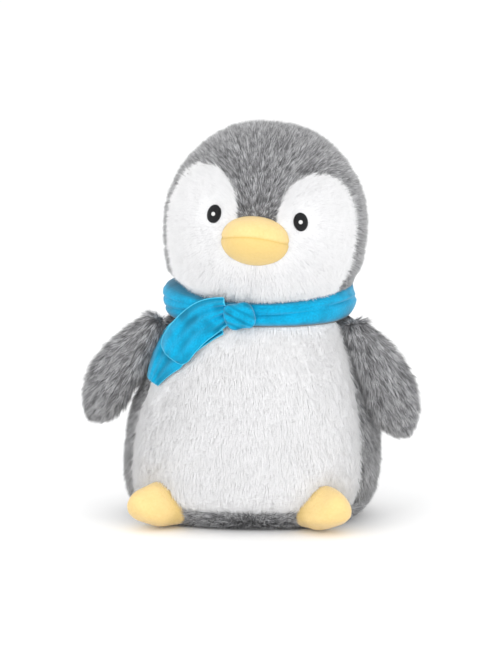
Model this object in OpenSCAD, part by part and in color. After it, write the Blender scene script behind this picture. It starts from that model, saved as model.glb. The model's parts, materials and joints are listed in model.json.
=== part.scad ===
// Plush penguin sitting upright, with a knotted scarf. Millimetres, +Z up, the penguin faces -Y.
// Left and right are the penguin's own: its left side is at +X.
// Sewn skins are grids of points: columns run round from the front seam, rows run along the piece.

/* [Body] */
// Half the width of the body at its widest
body_half_w = 86; // [70:1:104]
// Half the depth of the body at its widest
body_half_d = 72; // [58:1:88]
// Height of the body from the floor to the neck seam
body_h = 143; // [118:1:172]
// Height of the widest line of the body
body_widest_z = 45; // [37:1:54]
// Half the width of the flat seat
seat_half_w = 60; // [48:1:70]
// Half the width of the neck seam
neck_half_w = 62; // [52:1:74]
// Half the depth of the neck seam
neck_half_d = 56; // [46:1:67]
// How far the neck leans towards the penguin's left
body_lean = 6.5; // [0:0.5:10]
// Angle of the belly panel's side seams from the front
belly_edge_angle = 66; // [54:1:79]
// Thickness of the plush fabric with its pile pressed flat
pile_t = 4; // [3:0.5:5]
// Radius of the pellet pouch in the seat
pouch_r = 42; // [34:1:50]
// Height of the pellet pouch
pouch_h = 24; // [20:1:29]

/* [Head] */
// Half the width of the head at its widest
head_half_w = 67; // [55:1:80]
// Half the depth of the head at its widest
head_half_d = 60; // [50:1:72]
// Height of the head from its lower rim to its widest line
head_lower_h = 37; // [30:1:45]
// Height of the head above its widest line
head_dome_h = 68; // [56:1:82]
// Sideways tilt of the head, towards the penguin's left
head_roll = 4.5; // [0:0.5:5]
// Gap between the neck seam and the head's lower rim
neck_gap = 28; // [26:1:34]
// Radius of the stuffing that fills the neck
neck_core_r = 12; // [10:0.5:14]
// Half the width of the grey blaze above the beak
blaze_half_w = 12.8; // [10:0.2:15]
// Widest angle of the white cheeks from the front
cheek_angle = 70; // [60:1:84]

/* [Face] */
// Width of the beak
beak_w = 48; // [40:1:58]
// Height of the beak
beak_h = 35; // [29:1:42]
// How far the beak stands out of the face
beak_out = 21; // [17:1:25]
// Height of the beak's middle above the head's rim
beak_z = 32.5; // [32:1:40]
// Thickness of the short-pile fabric of beak and feet
velboa_t = 1.5; // [1.2:0.1:2]
// Distance of each eye from the middle of the face
eye_x = 30; // [26:0.5:34]
// Height of the eyes above the head's rim
eye_z = 48; // [44:1:54]
// Width of an embroidered eye
eye_w = 10; // [8:0.5:12]
// Height of an embroidered eye
eye_h = 13; // [11:0.5:15.5]
// Diameter of the white stitches in each eye
shine_d = 3.2; // [2.6:0.1:3.8]

/* [Wings] */
// Length of a wing from shoulder to tip
wing_len = 82; // [70:1:100]
// Greatest width of a wing
wing_w = 31.5; // [27:1:40]
// Greatest thickness of a wing
wing_t = 15; // [12:1:18]
// How far the left wing hangs out from the vertical
wing_angle_left = 17; // [14:1:40]
// How far the right wing hangs out from the vertical
wing_angle_right = 25; // [14:1:40]
// Height of the shoulder seams below the neck seam
shoulder_drop = 6; // [5:1:12]

/* [Feet] */
// How far a foot stands out of the body
foot_len = 27; // [22:1:32]
// Width of a foot
foot_w = 38; // [31:1:46]
// Height of a foot where it meets the body
foot_h = 30; // [25:1:33]
// Direction of a foot, out from straight ahead
foot_angle = 39; // [34:1:46]

/* [Scarf] */
// Height of the scarf band round the neck
scarf_h = 17; // [14:1:20]
// How far the scarf band stands out of the neck seam
scarf_out = 2; // [1:0.5:4]
// Thickness of the scarf band with its folds
scarf_t = 8; // [6:0.5:10]
// Thickness of a hanging tail
tail_t = 3.2; // [2.5:0.1:4]
// Width of a hanging tail
tail_w = 25; // [20:1:30]
// Width of the knot
knot_w = 22; // [18:1:26]

/* [Hidden] */

plush_grey = "#8e8f92";
plush_white = "#f2f2f0";
velboa_yellow = "#f4d98a";
scarf_blue = "#1b97d6";
stuffing = "#e8e6df";
thread_black = "#1a1a1c";

squareness = 2.25;      // exponent of the rounded cross-sections, 2 is an ellipse
clear = 0.5;            // gap between pieces that move apart
root_gap = 2;           // gap between a foot's root and the body it is sewn to
root_hollow = 4;        // how much a foot's root is hollowed to clear the body's curve
seam_sink = 1.2;        // how deep stitched-on pieces sink into the pile

// ---- skins: closed solids made from grids of points ----

function mix(a, b, t) = a + (b - a) * t;
function signed_pow(v, p) = sign(v) * pow(abs(v), p);
function unit(v) = v / norm(v);
function bezier(a, b, c, t) = a * (1 - t) * (1 - t) + 2 * b * t * (1 - t) + c * t * t;

// A point of a rounded cross-section, at an angle from the front towards +X
function oval(half_w, half_d, angle, n = squareness) = [
    half_w * signed_pow(sin(angle), 2 / n),
    -half_d * signed_pow(cos(angle), 2 / n)
];

// Triangles of one cell: a b along the lower row, d c along the upper row, k is the inner layer
function cell_faces(a, b, c, d, k) = concat(
    a == b ? [] : [[a, c, b], [a + k, b + k, c + k]],
    c == d ? [] : [[a, d, c], [a + k, c + k, d + k]]
);

// A panel: every grid cell (i, j) for which has(i, j) is true, closed by walls along its edges.
// open_lo and open_hi say that the first and last rows are rings and not points.
module panel(outer, inner, has, wrap = true, open_lo = true, open_hi = true) {
    cols = len(outer);
    rows = len(outer[0]);
    last = rows - 1;
    k = cols * rows;
    function next(i) = wrap ? (i + 1) % cols : i + 1;
    function prev(i) = wrap ? (i + cols - 1) % cols : i - 1;
    function at(i, j) = (j == 0 && !open_lo || j == last && !open_hi) ? j : i * rows + j;
    cells_i = wrap ? cols - 1 : cols - 2;
    function inside(i, j) = i >= 0 && i <= cells_i && j >= 0 && j < last && has(i, j);
    points = concat([for (col = outer) each col], [for (col = inner) each col]);
    faces = [
        for (i = [0:cells_i], j = [0:last - 1])
            if (has(i, j))
                let (a = at(i, j), b = at(next(i), j), c = at(next(i), j + 1), d = at(i, j + 1))
                each concat(
                    cell_faces(a, b, c, d, k),
                    inside(prev(i), j) ? [] : [[d, a, d + k], [a, a + k, d + k]],
                    inside(next(i), j) ? [] : [[b, c, c + k], [b, c + k, b + k]],
                    inside(i, j - 1) || a == b ? [] : [[a, b, a + k], [b, b + k, a + k]],
                    inside(i, j + 1) || c == d ? [] : [[c, d, d + k], [c, d + k, c + k]]
                )
    ];
    polyhedron(points, faces, convexity = 6);
}

// The stuffing inside a skin: its inner grid, closed at both ends by a point each.
module stuffed(inner, low_point, high_point) {
    cols = len(inner);
    rows = len(inner[0]);
    low = cols * rows;
    high = low + 1;
    function at(i, j) = (i % cols) * rows + j;
    points = concat([for (col = inner) each col], [low_point, high_point]);
    faces = concat(
        [for (i = [0:cols - 1], j = [0:rows - 2])
            each [[at(i, j), at(i + 1, j + 1), at(i + 1, j)], [at(i, j), at(i, j + 1), at(i + 1, j + 1)]]],
        [for (i = [0:cols - 1]) [low, at(i, 0), at(i + 1, 0)]],
        [for (i = [0:cols - 1]) [high, at(i + 1, rows - 1), at(i, rows - 1)]]
    );
    polyhedron(points, faces, convexity = 6);
}

// Rows of a grid without its first and last points, as stuffed() wants them
function trim_rows(grid, lo, hi) = [for (col = grid) [for (j = [lo:hi]) col[j]]];

// Puts the origin on the floor under the middle of the whole toy
module placed() {
    translate([-middle_x, -middle_y, 0]) children();
}

// ---- body ----

body_front_cols = 5;
body_back_cols = 8;
body_half_cols = body_front_cols + body_back_cols;
body_cols = 2 * body_half_cols;
seat_angles = [0, 30, 45, 60, 75, 90];
hem_row = 3;
body_upper_rows = 7;
body_rows = len(seat_angles) + body_upper_rows;
seat_curve = 2.4;
body_taper = 1.6;

function body_lean_at(z) = body_lean * pow(max(z, 0) / body_h, 1.3);
function seat_z(t) = body_widest_z * (1 - pow(cos(t), 2 / seat_curve));
function body_row_z(j) = j == 0 ? 0
    : j <= len(seat_angles) ? seat_z(seat_angles[j - 1])
    : mix(body_widest_z, body_h, (j - len(seat_angles)) / body_upper_rows);

// How far the body has drawn in from its widest line towards the neck, 0 to 1
function draw_in(z) = pow(max(0, (z - body_widest_z) / (body_h - body_widest_z)), body_taper);
function seat_half_d() = body_half_d - (body_half_w - seat_half_w);
function seat_share(z) =
    let (c = max(0, 1 - z / body_widest_z)) pow(1 - pow(c, seat_curve), 1 / seat_curve);
function body_w_at(z) = z < body_widest_z ? mix(seat_half_w, body_half_w, seat_share(z))
    : mix(body_half_w, neck_half_w, draw_in(z));
function body_d_at(z) = z < body_widest_z ? mix(seat_half_d(), body_half_d, seat_share(z))
    : mix(body_half_d, neck_half_d, draw_in(z));

// Angle of a body column: even steps to the belly's edge, then even steps to the back seam
function body_angle(i) = i > body_half_cols ? 360 - body_angle(body_cols - i)
    : i <= body_front_cols ? belly_edge_angle * i / body_front_cols
    : mix(belly_edge_angle, 180, (i - body_front_cols) / body_back_cols);

function body_point(angle, z, out = 0) =
    let (p = oval(body_w_at(z) + out, body_d_at(z) + out, angle)) [p[0] + body_lean_at(z), p[1], z];

body_outer = [for (i = [0:body_cols - 1]) [
    for (j = [0:body_rows]) j == 0 ? [0, 0, 0] : body_point(body_angle(i), body_row_z(j))
]];
body_inner = [for (i = [0:body_cols - 1]) [
    for (j = [0:body_rows])
        let (p = body_outer[i][j], z = max(p[2], body_widest_z))
        j == 0 ? [0, 0, pile_t] : p + pile_t * unit([body_lean_at(z), 0, z] - p)
]];

function on_belly(i, j) = j >= hem_row && (i < body_front_cols || i >= body_cols - body_front_cols);

module belly_panel() {
    placed() color(plush_white)
        panel(body_outer, body_inner, function(i, j) on_belly(i, j), open_lo = false);
}

module back_left() {
    placed() color(plush_grey) panel(
        body_outer, body_inner,
        function(i, j) j >= hem_row && i >= body_front_cols && i < body_half_cols,
        open_lo = false
    );
}

module back_right() {
    placed() color(plush_grey) panel(
        body_outer, body_inner,
        function(i, j) j >= hem_row && i >= body_half_cols && i < body_cols - body_front_cols,
        open_lo = false
    );
}

module base_panel() {
    placed() color(plush_grey) panel(body_outer, body_inner, function(i, j) j < hem_row, open_lo = false);
}

pouch_bottom = pile_t + 6;
pouch_edge = 5;

module pouch_shape() {
    translate([0, 0, pouch_bottom]) rotate_extrude($fn = 48) polygon([
        [0, 0], [pouch_r - 2 * pouch_edge, 0], [pouch_r, pouch_edge], [pouch_r, pouch_h - pouch_edge],
        [pouch_r - 2 * pouch_edge, pouch_h], [0, pouch_h]
    ]);
}

module body_filling() {
    placed() color(stuffing) difference() {
        stuffed(trim_rows(body_inner, 1, body_rows), [0, 0, pile_t], [body_lean, 0, body_h]);
        pouch_shape();
    }
}

module pellet_pouch() {
    placed() color("wheat") pouch_shape();
}

// ---- neck and head ----

neck_x = body_lean;
neck_pivot_z = body_h + clear + neck_core_r;
head_rim_z = body_h + neck_gap;

// The head is drawn upright about its own axis and tilted about the neck's pivot
module tilt_head() {
    translate([neck_x, 0, neck_pivot_z]) rotate([0, head_roll, 0])
        translate([0, 0, -neck_pivot_z]) children();
}

module neck_filling() {
    placed() color(stuffing) tilt_head() {
        translate([0, 0, neck_pivot_z]) intersection() {
            sphere(r = neck_core_r, $fn = 48);
            translate([0, 0, -neck_core_r]) cylinder(r = 2 * neck_core_r, h = neck_core_r, $fn = 48);
        }
        translate([0, 0, neck_pivot_z])
            cylinder(r = neck_core_r, h = head_rim_z - clear - neck_pivot_z, $fn = 48);
    }
}

blaze_cols = 2;
cheek_cols = 5;
nape_cols = 8;
head_half_cols = blaze_cols + cheek_cols + nape_cols;
head_cols = 2 * head_half_cols;
head_lower_rows = 5;
lobe_rows = 5;
top_rows = 4;
head_rows = head_lower_rows + lobe_rows + top_rows;
lobe_row = head_lower_rows + lobe_rows;
lobe_rise = 37;         // how far up the dome the white lobes reach, as an angle
lobe_in_angle = 31;     // inner and outer ends of a lobe's top edge, as angles from the front
lobe_out_angle = 52;
lobe_flare = 4.5;       // how late the lobe's inner and outer edges turn towards its top
lobe_round = 4;
rim_share = 0.93;       // width of the head's rim against its widest line
head_mid_z = head_rim_z + head_lower_h;
beak_mid_row = 4;

function head_rise(j) = j <= lobe_row ? lobe_rise * (j - head_lower_rows) / lobe_rows
    : mix(lobe_rise, 90, (j - lobe_row) / top_rows);
function head_row_z(j) = j <= head_lower_rows ? mix(head_rim_z, head_mid_z, j / head_lower_rows)
    : head_mid_z + head_dome_h * sin(head_rise(j));
function head_share(z) = z < head_mid_z
    ? 1 - (1 - rim_share) * pow((head_mid_z - z) / head_lower_h, 2)
    : sqrt(max(0, 1 - pow((z - head_mid_z) / head_dome_h, 2)));

// Angle of the seam between blaze and cheek: straight up from the beak, then flaring out to the lobe
function blaze_angle(j) =
    let (
        straight = asin(pow(blaze_half_w / (head_half_w * head_share(head_row_z(j))), squareness / 2)),
        flare = max(0, (j - head_lower_rows) / lobe_rows)
    )
    j >= lobe_row ? lobe_in_angle : mix(straight, lobe_in_angle, pow(flare, lobe_flare));

// Angle of the cheek's outer seam: widest at the head's widest line, drawn in at the chin and lobe
function cheek_out(j) = j >= lobe_row ? lobe_out_angle
    : j <= head_lower_rows ? cheek_angle - 7 * pow(1 - j / head_lower_rows, 2)
    : mix(cheek_angle, lobe_out_angle, pow((j - head_lower_rows) / lobe_rows, lobe_round));

function head_angle(i, j) = i > head_half_cols ? 360 - head_angle(head_cols - i, j)
    : i <= blaze_cols ? blaze_angle(j) * i / blaze_cols
    : i <= blaze_cols + cheek_cols ? mix(blaze_angle(j), cheek_out(j), (i - blaze_cols) / cheek_cols)
    : mix(cheek_out(j), 180, (i - blaze_cols - cheek_cols) / nape_cols);

function head_point(angle, z) =
    let (p = oval(head_half_w * head_share(z), head_half_d * head_share(z), angle)) [p[0], p[1], z];

head_outer = [for (i = [0:head_cols - 1]) [
    for (j = [0:head_rows]) j == head_rows ? [0, 0, head_mid_z + head_dome_h]
        : head_point(head_angle(i, j), head_row_z(j))
]];
head_inner = [for (i = [0:head_cols - 1]) [
    for (j = [0:head_rows])
        let (p = head_outer[i][j], z = min(p[2], head_mid_z)) p + pile_t * unit([0, 0, z] - p)
]];

function off_blaze(i) = i >= blaze_cols && i < head_cols - blaze_cols;
function off_cheek(i) = i >= blaze_cols + cheek_cols && i < head_cols - blaze_cols - cheek_cols;
function on_blaze(i, j) = !off_blaze(i) && j >= beak_mid_row && j < lobe_row;
function on_white(i, j) = j < lobe_row && !off_cheek(i) && !on_blaze(i, j);
function on_crown(i, j) = j >= lobe_row || off_cheek(i);
function left_side(i) = i < head_half_cols;

module head_panel(has) {
    tilt_head() panel(head_outer, head_inner, has, open_hi = false);
}

module crown_left() {
    placed() color(plush_grey) head_panel(function(i, j) on_crown(i, j) && left_side(i));
}

module crown_right() {
    placed() color(plush_grey) head_panel(function(i, j) on_crown(i, j) && !left_side(i));
}

module forehead_panel() {
    placed() color(plush_grey) head_panel(function(i, j) on_blaze(i, j));
}

module cheek_left() {
    placed() color(plush_white) head_panel(function(i, j) on_white(i, j) && left_side(i));
}

module cheek_right() {
    placed() color(plush_white) head_panel(function(i, j) on_white(i, j) && !left_side(i));
}

module head_filling() {
    top = [0, 0, head_mid_z + head_dome_h - pile_t];
    placed() color(stuffing) tilt_head()
        stuffed(trim_rows(head_inner, 0, head_rows - 1), [0, 0, head_rim_z], top);
}

// ---- beak ----

beak_cols = 16;
beak_rows = 5;
beak_root_y = -(head_half_d - pile_t + 0.4);
beak_mid_z = head_rim_z + beak_z;
mouth_rise = 2.4;       // how much higher the mouth line is at the tip than at the corners
beak_fullness = 0.62;   // how bluntly the beak's rows run out to its tip
beak_cheek = 0.9;       // how square its cross-section is

function beak_row_share(j) = cos(90 * j / beak_rows);
function beak_point(i, j) =
    let (
        turn = 360 * i / beak_cols,
        share = beak_row_share(j),
        lift = mouth_rise * (1 - share * share)
    )
    [
        beak_w / 2 * share * cos(turn),
        beak_root_y - beak_out * pow(max(0, 1 - share * share), beak_fullness),
        beak_mid_z + lift + beak_h / 2 * share * signed_pow(sin(turn), beak_cheek)
    ];
beak_tip = [0, beak_root_y - beak_out, beak_mid_z + mouth_rise];
beak_outer = [for (i = [0:beak_cols - 1]) [
    for (j = [0:beak_rows]) j == beak_rows ? beak_tip : beak_point(i, j)
]];
beak_inner = [for (i = [0:beak_cols - 1]) [
    for (j = [0:beak_rows])
        let (p = beak_outer[i][j]) p + velboa_t * unit([0, beak_root_y, p[2] * 0.3 + beak_mid_z * 0.7] - p)
]];

module beak_panel(first, last) {
    placed() color(velboa_yellow) tilt_head()
        panel(beak_outer, beak_inner, function(i, j) i >= first && i <= last, open_hi = false);
}

module beak_upper() {
    beak_panel(0, beak_cols / 2 - 1);
}

module beak_lower() {
    beak_panel(beak_cols / 2, beak_cols - 1);
}

module beak_filling() {
    placed() color(stuffing) tilt_head() stuffed(
        trim_rows(beak_inner, 0, beak_rows - 1),
        [0, beak_root_y, beak_mid_z],
        beak_inner[0][beak_rows]
    );
}

// ---- eyes ----

eye_splay = 9;          // the tops of the eyes lean towards each other
eye_turn = 24;          // the face turns away from the front at the eyes
eye_up = 9;
eye_proud = 0.8;
shine_in = 1;           // the white stitches sit a little nearer the beak

module on_face(side) {
    z = head_rim_z + eye_z;
    half_w = head_half_w * head_share(z);
    across = pow(1 - pow(eye_x / half_w, squareness), 1 / squareness);
    tilt_head() translate([side * eye_x, -head_half_d * head_share(z) * across, z])
        rotate([0, 0, side * eye_turn]) rotate([90 - eye_up, 0, 0])
        rotate([0, 0, side * eye_splay]) children();
}

module eye(side) {
    placed() color(thread_black) on_face(side) translate([0, 0, -seam_sink])
        linear_extrude(seam_sink + eye_proud)
        polygon([for (a = [0:15:345]) [eye_w / 2 * cos(a), eye_h / 2 * sin(a)]]);
}

module eye_shine(side) {
    placed() color(plush_white) on_face(side) translate([-side * shine_in, 0, eye_proud - 0.4])
        cylinder(d = shine_d, h = 0.8, $fn = 24);
}

module eye_left() {
    eye(1);
}

module eye_right() {
    eye(-1);
}

module eye_shine_left() {
    eye_shine(1);
}

module eye_shine_right() {
    eye_shine(-1);
}

// ---- wings ----

limb_cols = 14;
wing_rows = 7;
wing_seam_angle = 68;
wing_out = 2.5;         // how far the shoulder seam stands out of the body
wing_sweep = 7;         // the wing's outer edge is turned back a little
wing_root_w = 0.36;     // width at the shoulder, as a share of the full width
wing_root_t = 0.65;     // thickness at the shoulder and tip, as a share of the full thickness
wing_mid_root = 0.2;    // where the wing's middle line starts and ends, as shares of its width
wing_mid_tip = 0.58;

// Drawn hanging straight down from the shoulder at the origin, with its inner edge near x = 0
function wing_s(j) = sin(90 * j / wing_rows);
function wing_half_w(s) =
    wing_w / 2 * mix(wing_root_w, 1, sin(min(90, 150 * s))) * sqrt(max(0, 1 - pow(s, 6)));
function wing_half_t(s) =
    wing_t / 2 * mix(wing_root_t, 1, sin(180 * s)) * sqrt(max(0, 1 - pow(s, 5)));
function wing_mid(s) = 1 + wing_w * mix(wing_mid_root, wing_mid_tip, sin(min(90, 130 * s)));
function wing_point(i, s) =
    let (p = oval(wing_half_w(s), wing_half_t(s), -360 * i / limb_cols, 2))
    [p[0] + wing_mid(s), p[1], -wing_len * s];

wing_outer = [for (i = [0:limb_cols - 1]) [for (j = [0:wing_rows]) wing_point(i, wing_s(j))]];
wing_inner = [for (i = [0:limb_cols - 1]) [
    for (j = [0:wing_rows])
        let (p = wing_outer[i][j], s = min(wing_s(j), 0.9))
        p + 0.6 * pile_t * unit([wing_mid(s), 0, -wing_len * (j == 0 ? 0 : s)] - p)
]];

function shoulder(side) =
    let (z = body_h - shoulder_drop, p = body_point(side * wing_seam_angle, z, wing_out)) [p[0], p[1], z];

module at_shoulder(side) {
    hang = side > 0 ? wing_angle_left : wing_angle_right;
    translate(shoulder(side)) mirror([side > 0 ? 0 : 1, 0, 0])
        rotate([0, -hang, 0]) rotate([0, 0, wing_sweep]) children();
}

// The first and last quarter of the columns face the front
function faces_front(i) = i < limb_cols / 4 - 0.6 || i >= limb_cols * 3 / 4 - 0.6;

module wing_skin(side, front) {
    placed() color(plush_grey) at_shoulder(side)
        panel(wing_outer, wing_inner, function(i, j) faces_front(i) == front, open_hi = false);
}

module wing_stuffing(side) {
    placed() color(stuffing) at_shoulder(side)
        stuffed(trim_rows(wing_inner, 0, wing_rows - 1), [wing_mid(0), 0, 0], wing_inner[0][wing_rows]);
}

module wing_left_outer() {
    wing_skin(1, true);
}

module wing_left_inner() {
    wing_skin(1, false);
}

module wing_left_filling() {
    wing_stuffing(1);
}

module wing_right_outer() {
    wing_skin(-1, true);
}

module wing_right_inner() {
    wing_skin(-1, false);
}

module wing_right_filling() {
    wing_stuffing(-1);
}

// ---- feet ----

foot_rows = 5;
foot_floor_gap = 1;
foot_mid_z = foot_floor_gap + foot_h / 2;
foot_bluntness = 0.7;   // how bluntly the foot runs out to its toe
foot_taper = 0.28;      // how much narrower it is at the top than at the middle
foot_core_reach = 0.8;  // how far out the middle line runs that the fabric is thickened towards

// Rows run from the body's surface outwards to the toe
function foot_share(j) = cos(90 * j / foot_rows);
function foot_point(side, i, j) =
    let (
        turn = 360 * i / limb_cols,
        share = j == foot_rows ? 0 : pow(foot_share(j), foot_bluntness),
        across = foot_w / 2 * share * cos(turn) * (1 - foot_taper * sin(turn)),
        z = foot_mid_z + foot_h / 2 * share * sin(turn),
        angle = side * foot_angle + across / body_half_w * 180 / PI,
        out = foot_len * sin(90 * j / foot_rows)
    )
    body_point(angle, z, root_gap) + out * foot_ahead(side);

function foot_ahead(side) = [side * sin(foot_angle), -cos(foot_angle), 0];
function foot_outer(side) = [
    for (i = [0:limb_cols - 1]) [for (j = [0:foot_rows]) foot_point(side, i, j)]
];
function foot_core(side, j) =
    body_point(side * foot_angle, foot_mid_z, root_gap)
    + foot_len * min(foot_core_reach, sin(90 * j / foot_rows)) * foot_ahead(side);

// The root row is also pushed outwards, so that the stuffing stays clear of the body
function foot_inner(side) = let (grid = foot_outer(side)) [
    for (i = [0:limb_cols - 1]) [
        for (j = [0:foot_rows])
            let (push = j == 0 ? velboa_t / 2 : 0)
            grid[i][j] + velboa_t * unit(foot_core(side, j) - grid[i][j]) + push * foot_ahead(side)
    ]
];

module foot_skin(side, upper) {
    placed() color(velboa_yellow) panel(
        foot_outer(side), foot_inner(side),
        function(i, j) (i < limb_cols / 2) == upper,
        open_hi = false
    );
}

module foot_stuffing(side) {
    grid = foot_inner(side);
    hollow = foot_core(side, 0) + root_hollow * foot_ahead(side);
    placed() color(stuffing) stuffed(trim_rows(grid, 0, foot_rows - 1), hollow, grid[0][foot_rows]);
}

module foot_left_upper() {
    foot_skin(1, true);
}

module foot_left_sole() {
    foot_skin(1, false);
}

module foot_left_filling() {
    foot_stuffing(1);
}

module foot_right_upper() {
    foot_skin(-1, true);
}

module foot_right_sole() {
    foot_skin(-1, false);
}

module foot_right_filling() {
    foot_stuffing(-1);
}

// ---- scarf ----

band_steps = 40;
knot_x = 0;
knot_depth = 13;
knot_round = 5;
tail_cols = 4;
tail_rows = 8;
tail_gap = 1.2;         // gap between layers of the scarf
tail_start_share = 0.7; // width where a tail leaves the knot, as a share of its full width
tail_end_share = 0.62;  // width at its end
tail_end_flare = 2.2;   // how soon it gets from the end's width to its full width
front_limit = 0.94;     // how far round the front a tail may reach, as a share of the half width

module band_outline(out) {
    polygon([
        for (i = [0:band_steps - 1])
            let (p = oval(neck_half_w + out, neck_half_d + out, 360 * i / band_steps))
            [p[0] + body_lean, p[1]]
    ]);
}

module scarf_band() {
    placed() color(scarf_blue) translate([0, 0, body_h]) linear_extrude(scarf_h) difference() {
        band_outline(scarf_out);
        band_outline(scarf_out - scarf_t);
    }
}

module scarf_knot() {
    y = -(neck_half_d + scarf_out - 1 + knot_depth / 2);
    z = body_h + scarf_h / 2;
    placed() color(scarf_blue) difference() {
        hull() for (x = [-1, 1], zz = [-1, 1])
            translate([knot_x + x * (knot_w / 2 - knot_round), y, z + zz * (scarf_h / 2 - knot_round)])
                sphere(r = knot_round + 1.2, $fn = 20);
        translate([0, 0, body_h - scarf_h]) linear_extrude(3 * scarf_h) band_outline(scarf_out);
    }
}

// A place on the front of body and scarf band, a given distance out from the cloth
function front_point(x, z, out) =
    let (
        half_w = max(body_w_at(min(z, body_h)), neck_half_w + scarf_out) + out,
        half_d = max(body_d_at(min(z, body_h)), neck_half_d + scarf_out) + out,
        share = min(front_limit, abs(x - body_lean_at(min(z, body_h))) / half_w)
    )
    [x, -half_d * pow(1 - pow(share, squareness), 1 / squareness), z];

// Routes of the tails in x and z, from knot to end
front_route = [[-knot_w / 2 - 4, body_h + 8], [-34, body_h + 3], [-52, body_h - 27]];
rear_route = [[-knot_w / 2 - 5, body_h + 3], [-42, body_h - 3], [-63, body_h - 41]];

function tail_shape(route, s) = let (
    p = bezier(route[0], route[1], route[2], s),
    q = bezier(route[0], route[1], route[2], s + 0.01)
) [p, unit(p - q)];

function tail_grid(route, out) = [
    for (i = [0:tail_cols]) [
        for (j = [0:tail_rows])
            let (
                s = 1 - j / tail_rows,
                shape = tail_shape(route, s),
                half = tail_w / 2 * min(
                    mix(tail_start_share, 1, sin(min(90, 250 * s))),
                    tail_end_share + tail_end_flare * (1 - s)
                ),
                across = half * mix(-1, 1, i / tail_cols),
                right = [shape[1][1], -shape[1][0]],
                p = shape[0] + across * right
            )
            front_point(p[0], p[1], out)
    ]
];

module scarf_tail(route, out) {
    placed() color(scarf_blue) panel(
        tail_grid(route, out + tail_t), tail_grid(route, out),
        function(i, j) true,
        wrap = false
    );
}

module scarf_tail_front() {
    scarf_tail(front_route, 2 * tail_gap + tail_t);
}

module scarf_tail_rear() {
    scarf_tail(rear_route, tail_gap);
}

// ---- the middle of the toy, from its widest and deepest points ----

function wing_reach(side) = let (hang = side > 0 ? wing_angle_left : wing_angle_right) max([
    for (col = wing_outer, p = col) let (x = p[0] * cos(wing_sweep) - p[1] * sin(wing_sweep))
        side * shoulder(side)[0] + x * cos(hang) - p[2] * sin(hang)
]);
foot_front = min([for (side = [-1, 1], col = foot_outer(side), p = col) p[1]]);
middle_x = (wing_reach(1) - wing_reach(-1)) / 2;
middle_y = (body_half_d + min(foot_front, beak_tip[1])) / 2;

belly_panel();
back_left();
back_right();
base_panel();
body_filling();
pellet_pouch();
neck_filling();
crown_left();
crown_right();
forehead_panel();
cheek_left();
cheek_right();
head_filling();
beak_upper();
beak_lower();
beak_filling();
eye_left();
eye_right();
eye_shine_left();
eye_shine_right();
wing_left_outer();
wing_left_inner();
wing_left_filling();
wing_right_outer();
wing_right_inner();
wing_right_filling();
foot_left_upper();
foot_left_sole();
foot_left_filling();
foot_right_upper();
foot_right_sole();
foot_right_filling();
scarf_band();
scarf_knot();
scarf_tail_front();
scarf_tail_rear();
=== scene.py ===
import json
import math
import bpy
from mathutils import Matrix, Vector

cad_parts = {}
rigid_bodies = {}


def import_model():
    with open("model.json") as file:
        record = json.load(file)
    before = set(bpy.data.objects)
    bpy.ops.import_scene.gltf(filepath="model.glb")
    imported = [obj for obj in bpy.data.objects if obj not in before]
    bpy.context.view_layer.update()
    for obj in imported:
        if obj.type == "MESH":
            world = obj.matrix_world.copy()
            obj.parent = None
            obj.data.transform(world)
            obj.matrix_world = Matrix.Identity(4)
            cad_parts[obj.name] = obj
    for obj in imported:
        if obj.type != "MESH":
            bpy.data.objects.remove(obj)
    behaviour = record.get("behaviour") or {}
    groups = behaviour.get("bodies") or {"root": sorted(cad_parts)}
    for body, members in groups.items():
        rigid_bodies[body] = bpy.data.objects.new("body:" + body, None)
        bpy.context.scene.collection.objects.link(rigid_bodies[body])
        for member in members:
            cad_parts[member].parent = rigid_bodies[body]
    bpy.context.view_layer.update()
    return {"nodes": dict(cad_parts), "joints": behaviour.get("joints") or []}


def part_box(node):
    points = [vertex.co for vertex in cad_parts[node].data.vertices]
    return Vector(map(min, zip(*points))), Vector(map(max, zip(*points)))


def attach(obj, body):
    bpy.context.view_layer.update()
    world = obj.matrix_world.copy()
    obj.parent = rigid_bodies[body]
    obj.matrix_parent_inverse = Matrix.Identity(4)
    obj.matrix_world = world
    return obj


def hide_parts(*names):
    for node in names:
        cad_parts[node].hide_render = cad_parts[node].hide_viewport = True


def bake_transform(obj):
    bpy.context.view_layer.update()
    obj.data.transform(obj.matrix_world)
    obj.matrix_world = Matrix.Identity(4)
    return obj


bl_info = {
    "name": "Plush Penguin",
    "version": (1, 0, 0),
    "blender": (4, 5, 0),
    "location": "View3D > Sidebar > Plush Penguin",
    "description": "Builds the fabric, pile, scarf and face of a sitting plush penguin over its frame",
    "category": "Object",
}

import bmesh
import bpy
import numpy as np
from bpy.props import FloatProperty, FloatVectorProperty, IntProperty, PointerProperty
from mathutils import Matrix, Vector, noise
from mathutils.kdtree import KDTree

for leftover in list(bpy.data.objects):
    bpy.data.objects.remove(leftover)
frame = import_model()

MM = 0.001


# ---- places and sizes read from the frame, in millimetres ----


def joint_mm(name):
    found = next(joint for joint in frame["joints"] if joint["name"] == name)
    return np.array(found["pos_m"]) / MM


NECK = joint_mm("neck_nod")
TURN_AXIS = np.array(next(j for j in frame["joints"] if j["name"] == "head_turn")["axis"])
HEAD_ROLL = math.asin(TURN_AXIS[0])
BODY_PANELS = ("belly_panel", "back_left", "back_right", "base_panel")
BODY_BOXES = np.array([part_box(node) for node in BODY_PANELS]) / MM
BODY_LOW, BODY_HIGH = BODY_BOXES[:, 0].min(axis=0), BODY_BOXES[:, 1].max(axis=0)
BODY_H = BODY_HIGH[2]
BODY_HALF_W, BODY_HALF_D = (BODY_HIGH - BODY_LOW)[:2] / 2
BODY_LEAN = 6.5
MIDDLE = np.array([BODY_LEAN - NECK[0], -NECK[1], 0.0])


# ---- sizes and colours that can be changed in the sidebar ----


def number_prop(name, description, default, **limits):
    return FloatProperty(name=name, description=description, default=default, **limits)


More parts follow.
